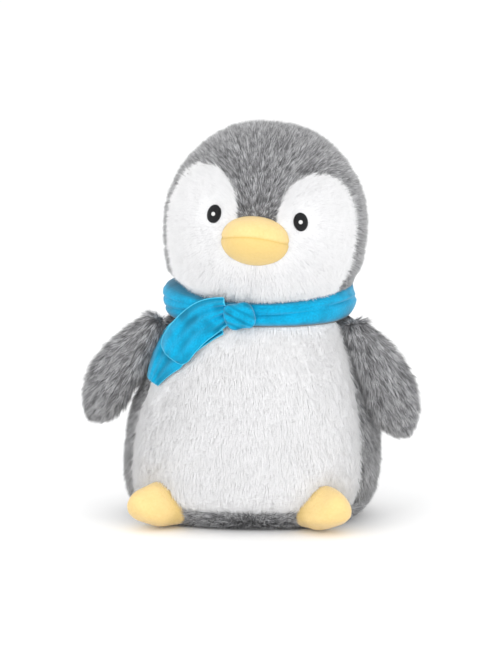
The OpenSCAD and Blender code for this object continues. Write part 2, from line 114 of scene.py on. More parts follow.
def length_prop(name, description, default_mm):
    return number_prop(name, description, default_mm * MM, min=0.0, unit="LENGTH")


def colour_prop(name, description, default):
    kind = {"size": 3, "min": 0.0, "max": 1.0, "subtype": "COLOR"}
    return FloatVectorProperty(name=name, description=description, default=default, **kind)


class PENGUIN_PG_pile(bpy.types.PropertyGroup):
    length: length_prop("Pile length", "Length of the long pile on body and wings", 6.6)
    head_length: length_prop("Head pile length", "Length of the pile on the head", 6.2)
    width: length_prop("Strand width", "Width of one strand at its root", 0.5)
    density: number_prop("Density", "Strands on a square millimetre", 3.0, min=0.1, max=6.0)
    lift: number_prop("Lift", "How far strands stand up, 0 lies flat", 0.5, min=0.0, max=1.0)
    tuft_size: length_prop("Tuft size", "Distance over which strands lean together", 5.0)
    tuft_strength: number_prop("Tuft strength", "How far tufts lean", 0.9, min=0.0, max=2.0)
    seed: IntProperty(name="Seed", description="Seed of the scattered strands", default=7, min=0)


class PENGUIN_PG_colours(bpy.types.PropertyGroup):
    grey_root: colour_prop("Grey at the root", "Grey pile near the backing", (0.09, 0.09, 0.095))
    grey_tip: colour_prop("Grey at the tip", "Grey pile at its tips", (0.47, 0.47, 0.48))
    white_root: colour_prop("White at the root", "White pile near the backing", (0.86, 0.86, 0.87))
    white_tip: colour_prop("White at the tip", "White pile at its tips", (0.97, 0.97, 0.975))
    yellow: colour_prop("Yellow", "Short pile of beak and feet", (0.76, 0.56, 0.25))
    # Amber: a tone in the yellow pile's grain, and the colour of painted shade where beak and feet meet the
    # body and along the mouth seam.
    amber_grain_and_shade: colour_prop("Amber", "Shade of the yellow pile in the seams", (0.54, 0.37, 0.09))
    scarf: colour_prop("Scarf", "Scarf cloth", (0.0, 0.35, 0.61))
    scarf_edge: colour_prop("Scarf edge", "Rolled and stitched edge of the scarf", (0.10, 0.56, 0.77))
    thread: colour_prop("Eye thread", "Thread of the eyes", (0.012, 0.012, 0.014))
    shine: colour_prop("Shine thread", "Thread of the white dot in the eyes", (0.85, 0.85, 0.85))
    stuffing: colour_prop("Stuffing", "Fibre stuffing", (0.78, 0.76, 0.70))


class PENGUIN_PG_stage(bpy.types.PropertyGroup):
    azimuth: number_prop("Azimuth", "Camera's turn round the toy", math.radians(7), subtype="ANGLE")
    elevation: number_prop("Elevation", "Camera's height as an angle", math.radians(9), subtype="ANGLE")
    lens: number_prop("Lens", "Focal length in millimetres", 250.0, min=20.0)
    distance: length_prop("Distance", "Camera to the middle of the toy", 3170.0)
    key_light: number_prop("Key light", "Power of the main light", 10.0, unit="POWER")
    fill_light: number_prop("Fill light", "Power of the fill light", 18.0, unit="POWER")


# ---- shapes, in millimetres ----


def mix(a, b, t):
    return a + (b - a) * t


def signed_pow(v, p):
    return np.sign(v) * np.abs(v) ** p


def smooth(t):
    t = np.clip(t, 0.0, 1.0)
    return t * t * (3 - 2 * t)


def unit(v):
    return v / np.maximum(np.linalg.norm(v, axis=-1, keepdims=True), 1e-9)


def fading(distance, reach):
    """1 where the distance is 0, falling to nearly nothing past twice the reach."""
    return np.exp(-((distance / reach) ** 2))


def noise_over(points, size):
    return np.array([noise.noise(Vector(p / size)) for p in points])


def turned(points, axis, angle):
    return points @ np.array(Matrix.Rotation(angle, 3, axis)).T


SQUARENESS = 2.25


def oval(half_w, half_d, angle, power=SQUARENESS):
    """A point of a rounded cross-section; the angle, in degrees, runs from the front towards +X."""
    a = np.radians(angle)
    return half_w * signed_pow(np.sin(a), 2 / power), -half_d * signed_pow(np.cos(a), 2 / power)


WIDEST_Z = 45.0
SEAT_HALF_W = 60.0
NECK_HALF_W = 62.0
NECK_HALF_D = 56.0
BELLY_EDGE = 66.0
HEM_Z = 13.0


def body_lean(z):
    return BODY_LEAN * (np.maximum(z, 0) / BODY_H) ** 1.3


def body_half(z):
    seat = (1 - np.maximum(0, 1 - z / WIDEST_Z) ** 2.4) ** (1 / 2.4)
    draw_in = np.maximum(0, (z - WIDEST_Z) / (BODY_H - WIDEST_Z)) ** 1.6
    seat_half_d = BODY_HALF_D - (BODY_HALF_W - SEAT_HALF_W)
    low = z < WIDEST_Z
    half_w = np.where(low, mix(SEAT_HALF_W, BODY_HALF_W, seat), mix(BODY_HALF_W, NECK_HALF_W, draw_in))
    half_d = np.where(low, mix(seat_half_d, BODY_HALF_D, seat), mix(BODY_HALF_D, NECK_HALF_D, draw_in))
    return half_w, half_d


def body_point(angle, z, out=0.0):
    z = np.asarray(z, float)
    half_w, half_d = body_half(z)
    x, y = oval(half_w + out, half_d + out, angle)
    return np.stack(np.broadcast_arrays(x + body_lean(z), y, z), axis=-1)


HEAD_LOW, HEAD_HIGH = 171.0, 276.0
HEAD_MID = 208.0
HEAD_DOME = HEAD_HIGH - HEAD_MID
HEAD_HALF_W, HEAD_HALF_D = 67.0, 60.0
LOBE_RISE, LOBE_IN, LOBE_OUT = 37.0, 31.0, 52.0
BLAZE_HALF_W = 12.8
CHEEK_EDGE = 70.0
WIDE_ROW, LOBE_ROW, TOP_ROW = 5.0, 10.0, 14.0
BLAZE_FLARE, LOBE_ROUND, CHIN_DRAW_IN = 4.5, 4, 7


def head_share(z):
    low = 1 - 0.07 * ((HEAD_MID - z) / (HEAD_MID - HEAD_LOW)) ** 2
    high = np.sqrt(np.maximum(0, 1 - ((z - HEAD_MID) / HEAD_DOME) ** 2))
    return np.where(z < HEAD_MID, low, high)


def head_z(row):
    share = row / WIDE_ROW
    above = mix(LOBE_RISE, 90, (row - LOBE_ROW) / (TOP_ROW - LOBE_ROW))
    rise = np.where(row <= LOBE_ROW, LOBE_RISE * lobe_share(row, False), above)
    dome = HEAD_MID + HEAD_DOME * np.sin(np.radians(rise))
    return np.where(share <= 1, mix(HEAD_LOW, HEAD_MID, share), dome)


def lobe_share(row, held=True):
    """How far a row is from the head's widest line to the top of the white lobes."""
    share = (row - WIDE_ROW) / (LOBE_ROW - WIDE_ROW)
    return np.clip(share, 0, 1) if held else share


def blaze_edge(row):
    share = head_share(head_z(np.maximum(row, 0)))
    straight = np.degrees(np.arcsin((BLAZE_HALF_W / (HEAD_HALF_W * share)) ** (SQUARENESS / 2)))
    return mix(straight, LOBE_IN, lobe_share(row) ** BLAZE_FLARE)


def cheek_edge(row):
    low = CHEEK_EDGE - CHIN_DRAW_IN * (1 - np.clip(row / WIDE_ROW, 0, 1)) ** 2
    return np.where(row <= WIDE_ROW, low, mix(CHEEK_EDGE, LOBE_OUT, lobe_share(row) ** LOBE_ROUND))


CHIN_ROWS = 1.6
CHIN_DEPTH, NAPE_DEPTH = 11.5, 0.5


def head_point(angle, row):
    """Rows below 0 turn under the rim: deepest under the chin, shallow at the nape."""
    row = np.asarray(row, float)
    under = np.clip(-row / CHIN_ROWS, 0, 1) * math.pi / 2
    front = 0.5 + 0.5 * np.cos(np.radians(angle))
    z = head_z(np.maximum(row, 0)) - mix(NAPE_DEPTH, CHIN_DEPTH, front**3) * np.sin(under)
    share = head_share(np.maximum(z, HEAD_LOW)) * (1 - 0.13 * (1 - np.cos(under)))
    x, y = oval(HEAD_HALF_W * share, HEAD_HALF_D * share, angle)
    return np.stack(np.broadcast_arrays(x, y, z), axis=-1)


def placed(points):
    return points - MIDDLE


def on_head(points):
    """Tilts a shape drawn upright about the head's own axis, about the neck's pivot, and places it."""
    pivot = np.array([0.0, 0.0, NECK[2]])
    return turned(points - pivot, "Y", HEAD_ROLL) + NECK


def grid(rows, columns, point):
    r, c = np.meshgrid(rows, columns, indexing="ij")
    return point(r, c)


# ---- meshes ----


def link(name, mesh, material=None):
    obj = bpy.data.objects.new(name, mesh)
    bpy.context.scene.collection.objects.link(obj)
    if material:
        mesh.materials.clear()
        mesh.materials.append(material)
    return obj


def store(mesh, label, values):
    mesh.attributes.new(label, "FLOAT", "POINT").data.foreach_set("value", values)


def shade_crease(mesh, depth):
    store(mesh, "crease", np.clip(depth, 0, 1))


def sheet_mesh(name, patches, centre):
    """One open sheet from grids of points in millimetres, welded, with faces away from the centre."""
    bm = bmesh.new()
    for patch in patches:
        rows, columns = patch.shape[:2]
        verts = [[bm.verts.new(patch[r, c] * MM) for c in range(columns)] for r in range(rows)]
        for r in range(rows - 1):
            for c in range(columns - 1):
                bm.faces.new((verts[r][c], verts[r][c + 1], verts[r + 1][c + 1], verts[r + 1][c]))
    bmesh.ops.remove_doubles(bm, verts=bm.verts, dist=2e-5)
    bmesh.ops.dissolve_degenerate(bm, edges=bm.edges, dist=1e-6)
    bmesh.ops.recalc_face_normals(bm, faces=bm.faces)
    middle = Vector(centre) * MM
    facing = sum(f.normal.dot(f.calc_center_median() - middle) * f.calc_area() for f in bm.faces)
    if facing < 0:
        bmesh.ops.reverse_faces(bm, faces=bm.faces)
    mesh = bpy.data.meshes.new(name)
    bm.to_mesh(mesh)
    bm.free()
    mesh.shade_smooth()
    return mesh


def solid(mesh, fill=False):
    """Turns a mesh's faces outwards. fill closes its open end first."""
    bm = bmesh.new()
    bm.from_mesh(mesh)
    if fill:
        bmesh.ops.holes_fill(bm, edges=[e for e in bm.edges if e.is_boundary], sides=0)
    bmesh.ops.recalc_face_normals(bm, faces=bm.faces)
    if bm.calc_volume(signed=True) < 0:
        bmesh.ops.reverse_faces(bm, faces=bm.faces)
    bm.to_mesh(mesh)
    bm.free()
    mesh.shade_smooth()
    return mesh


def coordinates(mesh):
    co = np.empty(len(mesh.vertices) * 3)
    mesh.vertices.foreach_get("co", co)
    return co.reshape(-1, 3) / MM


def normals(mesh):
    return np.array([n.vector for n in mesh.vertex_normals])


def set_coordinates(mesh, points):
    mesh.vertices.foreach_set("co", (points * MM).ravel())
    mesh.update()


def seam_distance(mesh, points):
    """How far each point of a sheet is from the sheet's own edge."""
    bm = bmesh.new()
    bm.from_mesh(mesh)
    edge = [v.index for v in bm.verts if v.is_boundary]
    bm.free()
    if not edge:
        return np.full(len(points), 100.0)
    tree = KDTree(len(edge))
    for k, index in enumerate(edge):
        tree.insert(points[index], k)
    tree.balance()
    return np.array([tree.find(p)[2] for p in points])


def pad_out(mesh, sink=1.0, reach=5.0, lumps=0.8, lump_size=30.0):
    """Sinks a sheet's edges into its seams and gives its face the soft lumps of stuffing."""
    points = coordinates(mesh)
    out = normals(mesh)
    away = seam_distance(mesh, points)
    shift = lumps * noise_over(points, lump_size) * smooth(away / 8) - sink * fading(away, reach)
    set_coordinates(mesh, points + out * shift[:, None])
    return mesh


def skin(node, body, mesh, material, wall=2.0, even=False):
    """Turns a sheet into a closed fabric wall that stands for a CAD node. even keeps the sheet's normals."""
    obj = link(mesh.name, mesh, material)
    out = normals(mesh)
    thick = obj.modifiers.new("Wall", "SOLIDIFY")
    thick.thickness = wall * MM
    thick.offset = -1
    finished(obj)
    if even and len(obj.data.vertices) == 2 * len(out):
        obj.data.normals_split_custom_set_from_vertices(np.concatenate([out, -out]))
    stands_for(obj, node, body)


def plush_skin(node, body, mesh, white, wall=2.0):
    skin(node, body, mesh, backing(white), wall)


def yellow_skin(node, body, mesh):
    skin(node, body, mesh, yellow_pile(), 1.2, even=True)


def stands_for(obj, node, body):
    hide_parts(node)
    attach(obj, body)


def finished(obj):
    """Applies every modifier and leaves a plain mesh."""
    bpy.context.view_layer.update()
    graph = bpy.context.evaluated_depsgraph_get()
    mesh = bpy.data.meshes.new_from_object(obj.evaluated_get(graph), depsgraph=graph)
    old = obj.data
    obj.modifiers.clear()
    obj.data = mesh
    mesh.name = obj.name
    if old.users == 0:
        bpy.data.meshes.remove(old)


# ---- node trees ----


def add(tree, kind, inputs=None, **settings):
    node = tree.nodes.new(kind)
    for key, value in settings.items():
        setattr(node, key, value)
    for key, value in (inputs or {}).items():
        if isinstance(value, bpy.types.NodeSocket):
            tree.links.new(value, node.inputs[key])
        else:
            node.inputs[key].default_value = value
    return node


def group_of(name, kind, inputs, outputs):
    """A new node group. Its sockets are named with their kind, or with a default number."""
    tree = bpy.data.node_groups.new(name, kind)
    for way, sockets in (("INPUT", inputs), ("OUTPUT", outputs)):
        for label, value in sockets.items():
            number = not isinstance(value, str)
            shown = ("Int" if isinstance(value, int) else "Float") if number else value
            made = tree.interface.new_socket(name=label, in_out=way, socket_type="NodeSocket" + shown)
            if number:
                made.default_value = value
    return tree, tree.nodes.new("NodeGroupInput").outputs


def give_out(tree, *values):
    result = tree.nodes.new("NodeGroupOutput")
    for value, place in zip(values, result.inputs):
        tree.links.new(value, place)
    return tree


def maths(tree, operation, *values):
    return add(tree, "ShaderNodeMath", dict(enumerate(values)), operation=operation).outputs[0]


def times(tree, first, *others):
    for other in others:
        first = maths(tree, "MULTIPLY", first, other)
    return first


def vector_maths(tree, operation, a, b):
    return add(tree, "ShaderNodeVectorMath", {0: a, 1: b}, operation=operation).outputs[0]


def scaled(tree, vector, scale):
    return add(tree, "ShaderNodeVectorMath", {0: vector, "Scale": scale}, operation="SCALE").outputs[0]


def ranged(tree, value, low, high, to_low=0.0, to_high=1.0, **settings):
    ends = {"Value": value, "From Min": low, "From Max": high, "To Min": to_low, "To Max": to_high}
    return add(tree, "ShaderNodeMapRange", ends, **settings).outputs[0]


def noise_at(tree, place, scale, detail):
    return add(tree, "ShaderNodeTexNoise", {"Vector": place, "Scale": scale, "Detail": detail})


def blended(tree, factor, a, b):
    return add(tree, "ShaderNodeMix", {0: factor, 6: a, 7: b}, data_type="RGBA").outputs[2]


def stored(tree, geometry, name, value, kind="FLOAT"):
    values = {"Geometry": geometry, "Name": name, "Value": value}
    return add(tree, "GeometryNodeStoreNamedAttribute", values, data_type=kind, domain="POINT").outputs[0]


def named(tree, attribute, kind="FLOAT"):
    node = add(tree, "GeometryNodeInputNamedAttribute", {"Name": attribute}, data_type=kind)
    return node.outputs["Attribute"]


def random_number(tree, low, high, seed):
    return add(tree, "FunctionNodeRandomValue", {2: low, 3: high, "Seed": seed}, data_type="FLOAT").outputs[1]


STRAND_SIDES = 3
STRAND_POINTS = STRAND_SIDES + 1


def strand_mesh():
    """One straight strand of unit height and unit root radius, with its height stored as 'along'."""
    turns = [2 * math.pi * k / STRAND_SIDES for k in range(STRAND_SIDES)]
    verts = [(math.cos(a), math.sin(a), 0.0) for a in turns] + [(0.0, 0.0, 1.0)]
    faces = [tuple(reversed(range(STRAND_SIDES)))]
    faces += [(k, (k + 1) % STRAND_SIDES, STRAND_SIDES) for k in range(STRAND_SIDES)]
    mesh = bpy.data.meshes.new("strand")
    mesh.from_pydata(verts, [], faces)
    store(mesh, "along", [0.0] * STRAND_SIDES + [1.0])
    mesh.shade_smooth()
    return mesh


PILE_INPUTS = {
    "Geometry": "Geometry",
    "Strand": "Object",
    "Density": 1e6,
    "Length": 0.008,
    "Width": 0.0006,
    "Lift": 0.6,
    "Bend": 0.35,
    "Tuft Size": 0.005,
    "Tuft Strength": 0.9,
    "Floor": 0.0004,
    "Seed": 7,
    "Material": "Material",
}
WILD = 0.2
SHORTEST, LONGEST = 0.72, 1.12
LENGTH_SEED, TONE_SEED = 11.0, 23.0
STREAK_SCALE, STREAK_TONE, STRAND_TONE = 2.2, 0.6, 0.4


def pile_tree():
    """Scatters bent, tufted strands over a sheet whose vertices hold 'comb', 'pile' and 'cover'."""
    if "Pile" in bpy.data.node_groups:
        return bpy.data.node_groups["Pile"]
    tree, given = group_of("Pile", "GeometryNodeTree", PILE_INPUTS, {"Geometry": "Geometry"})
    seed, lift = given["Seed"], given["Lift"]
    density = times(tree, given["Density"], named(tree, "cover"))
    scatter = {"Mesh": given["Geometry"], "Density": density, "Seed": seed}
    points = add(tree, "GeometryNodeDistributePointsOnFaces", scatter).outputs
    rooted = stored(tree, points["Points"], "out", points["Normal"], "FLOAT_VECTOR")
    comb, out = named(tree, "comb", "FLOAT_VECTOR"), named(tree, "out", "FLOAT_VECTOR")
    place = tree.nodes.new("GeometryNodeInputPosition").outputs[0]

    # each strand leans with its tuft, between upright and combed flat
    tuft_place = scaled(tree, place, maths(tree, "DIVIDE", 1.0, given["Tuft Size"]))
    tuft = noise_at(tree, tuft_place, 1.0, 1.0).outputs["Color"]
    tuft_lean = scaled(tree, vector_maths(tree, "SUBTRACT", tuft, (0.5, 0.5, 0.5)), given["Tuft Strength"])
    ends = {0: (-WILD,) * 3, 1: (WILD,) * 3, "Seed": seed}
    wild = add(tree, "FunctionNodeRandomValue", ends, data_type="FLOAT_VECTOR").outputs[0]
    flat = scaled(tree, comb, maths(tree, "SUBTRACT", 1.0, lift))
    combed = vector_maths(tree, "ADD", scaled(tree, out, lift), flat)
    leaning = vector_maths(tree, "ADD", combed, vector_maths(tree, "ADD", tuft_lean, wild))
    axes = {0: leaning, 1: comb}
    rotation = add(tree, "FunctionNodeAxesToRotation", axes, primary_axis="Z", secondary_axis="X").outputs[0]

    spread = random_number(tree, SHORTEST, LONGEST, maths(tree, "ADD", seed, LENGTH_SEED))
    strand_length = times(tree, given["Length"], named(tree, "pile"), spread)
    half_width = times(tree, given["Width"], 0.5)
    size = add(tree, "ShaderNodeCombineXYZ", {0: half_width, 1: half_width, 2: strand_length}).outputs[0]

    tone = random_number(tree, 0.0, 1.0, maths(tree, "ADD", seed, TONE_SEED))
    hill = noise_at(tree, tuft_place, STREAK_SCALE, 2.0).outputs[0]
    streak = ranged(tree, hill, 0.3, 0.7, to_high=STREAK_TONE)
    toned = stored(tree, rooted, "tone", maths(tree, "ADD", times(tree, tone, STRAND_TONE), streak))
    strand = add(tree, "GeometryNodeObjectInfo", {"Object": given["Strand"]}).outputs["Geometry"]
    spots = stored(tree, toned, "reach", strand_length)
    laid = {"Points": spots, "Instance": strand, "Rotation": rotation, "Scale": size}
    strands = add(tree, "GeometryNodeInstanceOnPoints", laid).outputs[0]
    real = add(tree, "GeometryNodeRealizeInstances", {"Geometry": strands}).outputs[0]

    droop = times(tree, maths(tree, "POWER", named(tree, "along"), 2.0), named(tree, "reach"), given["Bend"])
    offset = scaled(tree, comb, droop)
    bent = add(tree, "GeometryNodeSetPosition", {"Geometry": real, "Offset": offset}).outputs[0]
    apart = add(tree, "ShaderNodeSeparateXYZ", {0: place}).outputs
    above = {0: apart[0], 1: apart[1], 2: maths(tree, "MAXIMUM", apart[2], given["Floor"])}
    lifted = add(tree, "ShaderNodeCombineXYZ", above).outputs[0]
    on_floor = add(tree, "GeometryNodeSetPosition", {"Geometry": bent, "Position": lifted}).outputs[0]
    dressed = {"Geometry": on_floor, "Material": given["Material"]}
    return give_out(tree, add(tree, "GeometryNodeSetMaterial", dressed).outputs[0])


MAP_CELLS = 24


def lay_strand_map(mesh):
    """Gives each strand a cell of a UV map for its colours. Strands of one tone share a cell."""
    tone = np.empty(len(mesh.vertices))
    mesh.attributes["tone"].data.foreach_get("value", tone)
    corners = np.empty(len(mesh.loops), int)
    mesh.loops.foreach_get("vertex_index", corners)
    cell = np.clip(tone[corners] * MAP_CELLS**2, 0, MAP_CELLS**2 - 1).astype(int)
    local = corners % STRAND_POINTS
    across = np.where(local < STRAND_SIDES, 0.1 + 0.4 * local, 0.5)
    up = np.where(local < STRAND_SIDES, 0.1, 0.9)
    uv = np.stack([(cell % MAP_CELLS + across) / MAP_CELLS, (cell // MAP_CELLS + up) / MAP_CELLS], axis=-1)
    mesh.uv_layers.new(name="OFBake").data.foreach_set("uv", uv.ravel())


def soften(mesh, share):
    """Turns the strands' normals towards the fabric's own, as light scatters through real pile."""
    out = np.empty(len(mesh.vertices) * 3)
    mesh.attributes["out"].data.foreach_get("vector", out)
    mesh.normals_split_custom_set_from_vertices(unit(mix(normals(mesh), out.reshape(-1, 3), share)))


WHITE_SOFTNESS, GREY_SOFTNESS = 0.8, 0.35


def pile(name, body, sheet, white, flow, length, reach, cover=None, lift=None):
    """Long pile over a copy of a sheet. flow, reach and cover take points in millimetres and normals."""
    settings = bpy.context.scene.penguin_pile
    mesh = sheet.copy()
    points, out = coordinates(mesh), normals(mesh)
    way = flow(points, out)
    comb = unit(way - out * np.sum(way * out, axis=1, keepdims=True))
    mesh.attributes.new("comb", "FLOAT_VECTOR", "POINT").data.foreach_set("vector", comb.ravel())
    store(mesh, "pile", reach(points, out))
    store(mesh, "cover", cover(points, out) if cover else np.ones(len(points)))
    obj = link(name, mesh)
    strand = link("strand", strand_mesh())
    modifier = obj.modifiers.new("Pile", "NODES")
    modifier.node_group = pile_tree()
    material = pile_material(white)
    values = {
        "Strand": strand,
        "Density": settings.density * 1.0 / MM**2,
        "Length": length,
        "Width": settings.width,
        "Lift": settings.lift if lift is None else lift,
        "Bend": PILE_INPUTS["Bend"],
        "Tuft Size": settings.tuft_size,
        "Tuft Strength": settings.tuft_strength,
        "Seed": settings.seed + sum(map(ord, name)),
        "Material": material,
    }
    for item in modifier.node_group.interface.items_tree:
        if item.in_out == "INPUT" and item.name in values:
            modifier[item.identifier] = values[item.name]
    finished(obj)
    spent = strand.data
    bpy.data.objects.remove(strand)
    bpy.data.meshes.remove(spent)
    lay_strand_map(obj.data)
    soften(obj.data, WHITE_SOFTNESS if white else GREY_SOFTNESS)
    for label in ("comb", "out", "reach", "pile", "cover"):
        if label in obj.data.attributes:
            obj.data.attributes.remove(obj.data.attributes[label])
    obj.data.materials.clear()
    obj.data.materials.append(material)
    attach(obj, body)


# ---- materials ----


def grain_group():
    """Fine colour variation and height of cloth and short pile."""
    if "Cloth Grain" in bpy.data.node_groups:
        return bpy.data.node_groups["Cloth Grain"]
    inputs = {"Color": "Color", "Shade": "Color", "Fine Scale": 900.0, "Broad Scale": 60.0, "Amount": 0.35}
    tree, given = group_of("Cloth Grain", "ShaderNodeTree", inputs, {"Color": "Color", "Height": "Float"})
    place = tree.nodes.new("ShaderNodeTexCoord").outputs["Object"]
    fine = noise_at(tree, place, given["Fine Scale"], 2.0).outputs[0]
    broad = noise_at(tree, place, given["Broad Scale"], 3.0).outputs[0]
    both = maths(tree, "ADD", times(tree, fine, 0.55), times(tree, broad, 0.45))
    factor = times(tree, ranged(tree, both, 0.35, 0.65), given["Amount"])
    return give_out(tree, blended(tree, factor, given["Color"], given["Shade"]), fine)


SILVER_TIP = (0.95, 0.96, 0.98, 1)


def pile_group():
    """Colour of a strand from root to tip, with strands that are darker, lighter or silvery."""
    if "Pile Colour" in bpy.data.node_groups:
        return bpy.data.node_groups["Pile Colour"]
    inputs = {"Root": "Color", "Tip": "Color", "Silver": 0.3, "Contrast": 0.5}
    tree, given = group_of("Pile Colour", "ShaderNodeTree", inputs, {"Color": "Color"})
    along = add(tree, "ShaderNodeAttribute", attribute_name="along").outputs["Fac"]
    tone = add(tree, "ShaderNodeAttribute", attribute_name="tone").outputs["Fac"]
    rise = ranged(tree, along, 0.05, 0.85, interpolation_type="SMOOTHSTEP")
    dark = ranged(tree, tone, 0.25, 0.6, given["Contrast"], 0.0)
    shaded = blended(tree, dark, blended(tree, rise, given["Root"], given["Tip"]), given["Root"])
    silver = times(tree, ranged(tree, tone, 0.5, 0.8), given["Silver"], rise)
    return give_out(tree, blended(tree, silver, shaded, SILVER_TIP))


def new_material(name, roughness, specular, sheen=0.0, sheen_roughness=0.45):
    """A material with its tree and shader, or with None for the tree if it was made before."""
    if name in bpy.data.materials:
        return bpy.data.materials[name], None, None
    material = bpy.data.materials.new(name)
    material.use_nodes = True
    shader = material.node_tree.nodes["Principled BSDF"]
    shader.inputs["Roughness"].default_value = roughness
    shader.inputs["Specular IOR Level"].default_value = specular
    shader.inputs["Sheen Weight"].default_value = sheen
    shader.inputs["Sheen Roughness"].default_value = sheen_roughness
    return material, material.node_tree, shader


def use_group(tree, group, values):
    node = tree.nodes.new("ShaderNodeGroup")
    node.node_tree = group
    for key, value in values.items():
        node.inputs[key].default_value = value
    return node.outputs


def rgba(colour):
    return (*colour, 1.0)


def darker(colour, share):
    return tuple(share * v for v in colour)


def palette():
    return bpy.context.scene.penguin_colours


def pile_material(white):
    c = palette()
    name = "White pile" if white else "Grey pile"
    root, tip = (c.white_root, c.white_tip) if white else (c.grey_root, c.grey_tip)
    silver, contrast = (0.3, 0.25) if white else (0.6, 0.95)
    material, tree, shader = new_material(name, 0.62, 0.25, 0.25, 0.4)
    if tree:
        values = {"Root": rgba(root), "Tip": rgba(tip), "Silver": silver, "Contrast": contrast}
        tree.links.new(use_group(tree, pile_group(), values)[0], shader.inputs["Base Color"])
    return material


def cloth_material(
    name, colour, shade, fine=900.0, broad=60.0, amount=0.35, bump=0.35, sheen=0.3, crease=None
):
    """Short pile or woven cloth. Where the piece has an attribute 'crease', it darkens to that colour:
    painted shade in its folds, seams and roots, and darker patches painted for the velour's sheen.
    """
    material, tree, shader = new_material(name, 0.85, 0.12, sheen)
    if tree:
        values = {"Color": rgba(colour), "Shade": rgba(shade), "Fine Scale": fine, "Broad Scale": broad}
        grain = use_group(tree, grain_group(), {**values, "Amount": amount})
        shown = grain[0]
        if crease is not None:
            depth = add(tree, "ShaderNodeAttribute", attribute_name="crease").outputs["Fac"]
            shown = blended(tree, depth, shown, rgba(crease))
        tree.links.new(shown, shader.inputs["Base Color"])
        relief = add(tree, "ShaderNodeBump", {"Height": grain[1], "Strength": bump, "Distance": 0.0006})
        tree.links.new(relief.outputs[0], shader.inputs["Normal"])
    return material


def thread_material(name, colour, roughness):
    """Satin stitches: fine parallel threads laid side by side."""
    material, tree, shader = new_material(name, roughness, 0.15)
    if tree:
        place = tree.nodes.new("ShaderNodeTexCoord").outputs["Object"]
        lines = {"Vector": place, "Scale": 900.0, "Distortion": 0.8, "Detail": 1.0}
        rows = add(tree, "ShaderNodeTexWave", lines, bands_direction="Z").outputs["Fac"]
        tone = blended(tree, rows, rgba(darker(colour, 0.55)), rgba(colour))
        tree.links.new(tone, shader.inputs["Base Color"])
        relief = add(tree, "ShaderNodeBump", {"Height": rows, "Strength": 0.5, "Distance": 0.0003})
        tree.links.new(relief.outputs[0], shader.inputs["Normal"])
    return material


def backing(white):
    c = palette()
    # The backing takes the pile's root colour, darker than the tips: painted shade deep under the pile.
    colour = c.white_root if white else c.grey_root
    name = "White backing" if white else "Grey backing"
    return cloth_material(name, colour, darker(colour, 0.7), fine=1200.0, amount=0.4)


def yellow_pile():
    c = palette()
    shade = mix(np.array(c.yellow), np.array(c.amber_grain_and_shade), 0.4)
    coarse = {"fine": 600.0, "broad": 110.0, "amount": 0.5, "bump": 0.8}
    # The crease colour, amber, is painted shade at the roots and seams of beak and feet.
    return cloth_material("Yellow short pile", c.yellow, shade, crease=c.amber_grain_and_shade, **coarse)


def scarf_cloth():
    c = palette()
    # A darker scarf blue: a tone in the cloth's grain, and the colour of painted shade in its folds and nap
    # patches.
    deep_tone_and_fold_shade = darker(c.scarf, 0.45)
    weave = {"fine": 700.0, "broad": 90.0, "amount": 0.5, "sheen": 0.25}
    return cloth_material("Scarf cloth", c.scarf, deep_tone_and_fold_shade, crease=deep_tone_and_fold_shade, **weave)


# ---- body ----


SWAY = 0.35


def body_flow(points, out):
    down = np.tile([0.0, 0.0, -1.0], (len(points), 1))
    return down + SWAY * np.cross(out, down) * noise_over(points, 40.0)[:, None] + 0.15 * out


def body_centre():
    return placed(np.array([BODY_LEAN / 2, 0.0, BODY_H / 2]))


def body_patch(first, last):
    rows, turns = np.linspace(HEM_Z, BODY_H, 44), np.linspace(first, last, 40)
    return placed(grid(rows, turns, lambda z, a: body_point(a, z)))


def base_patch():
    """The seat: level under the toy, rounded up to the hem."""
    shares = np.linspace(0, 1, 14)
    heights = np.linspace(0.0, HEM_Z, 10)
    angles = np.linspace(0, 360, 97)
    seat = grid(shares, angles, lambda s, a: body_point(a, 0 * s) * np.stack([s, s, 1 + 0 * s], axis=-1))
    side = grid(heights[1:], angles, lambda zz, a: body_point(a, zz))
    return placed(np.concatenate([seat, side]))


class PENGUIN_OT_body(bpy.types.Operator):
    """Builds the body's four fabric panels and their pile"""

    bl_idname = "penguin.body"
    bl_label = "Body"

    def execute(self, context):
        length = context.scene.penguin_pile.length
        panels = (
            ("belly_panel", -BELLY_EDGE, BELLY_EDGE),
            ("back_left", BELLY_EDGE, 180.0),
            ("back_right", -180.0, -BELLY_EDGE),
        )
        for node, first, last in panels:
            white = node == "belly_panel"
            sheet = pad_out(sheet_mesh(node + "_fabric", [body_patch(first, last)], body_centre()))
            if white:
                ruffle(sheet)
            longer, lift = (1.0, 0.38) if white else (1.2, 0.42)
            for half, cover in (("lower", lower_cover), ("upper", upper_cover)):
                name = node + "_pile_" + half
                pile(name, "body", sheet, white, body_flow, longer * length, belly_reach, cover, lift)
            plush_skin(node, "body", sheet, white)
        base = pad_out(sheet_mesh("base_panel_fabric", [base_patch()], body_centre()), lumps=0.2, sink=0.0)
        points = coordinates(base)
        points[:, 2] = np.maximum(points[:, 2], 0.0)
        set_coordinates(base, points)
        pile("base_panel_pile", "body", base, False, base_flow, length, hem_reach, hem_cover)
        plush_skin("base_panel", "body", base, False)
        return {"FINISHED"}


RUFFLE_DEPTH, RUFFLE_SIZE = 1.3, np.array([42, 42, 10])


def ruffle(mesh):
    """Soft waves across the belly, where the fabric bunches up over its stuffing."""
    points, out = coordinates(mesh), normals(mesh)
    wave = RUFFLE_DEPTH * noise_over(points, RUFFLE_SIZE) * smooth(seam_distance(mesh, points) / 12)
    set_coordinates(mesh, points + out * wave[:, None])


def lower_cover(points, out):
    return np.where(points[:, 2] < BODY_H / 2, 1.0, 0.0)


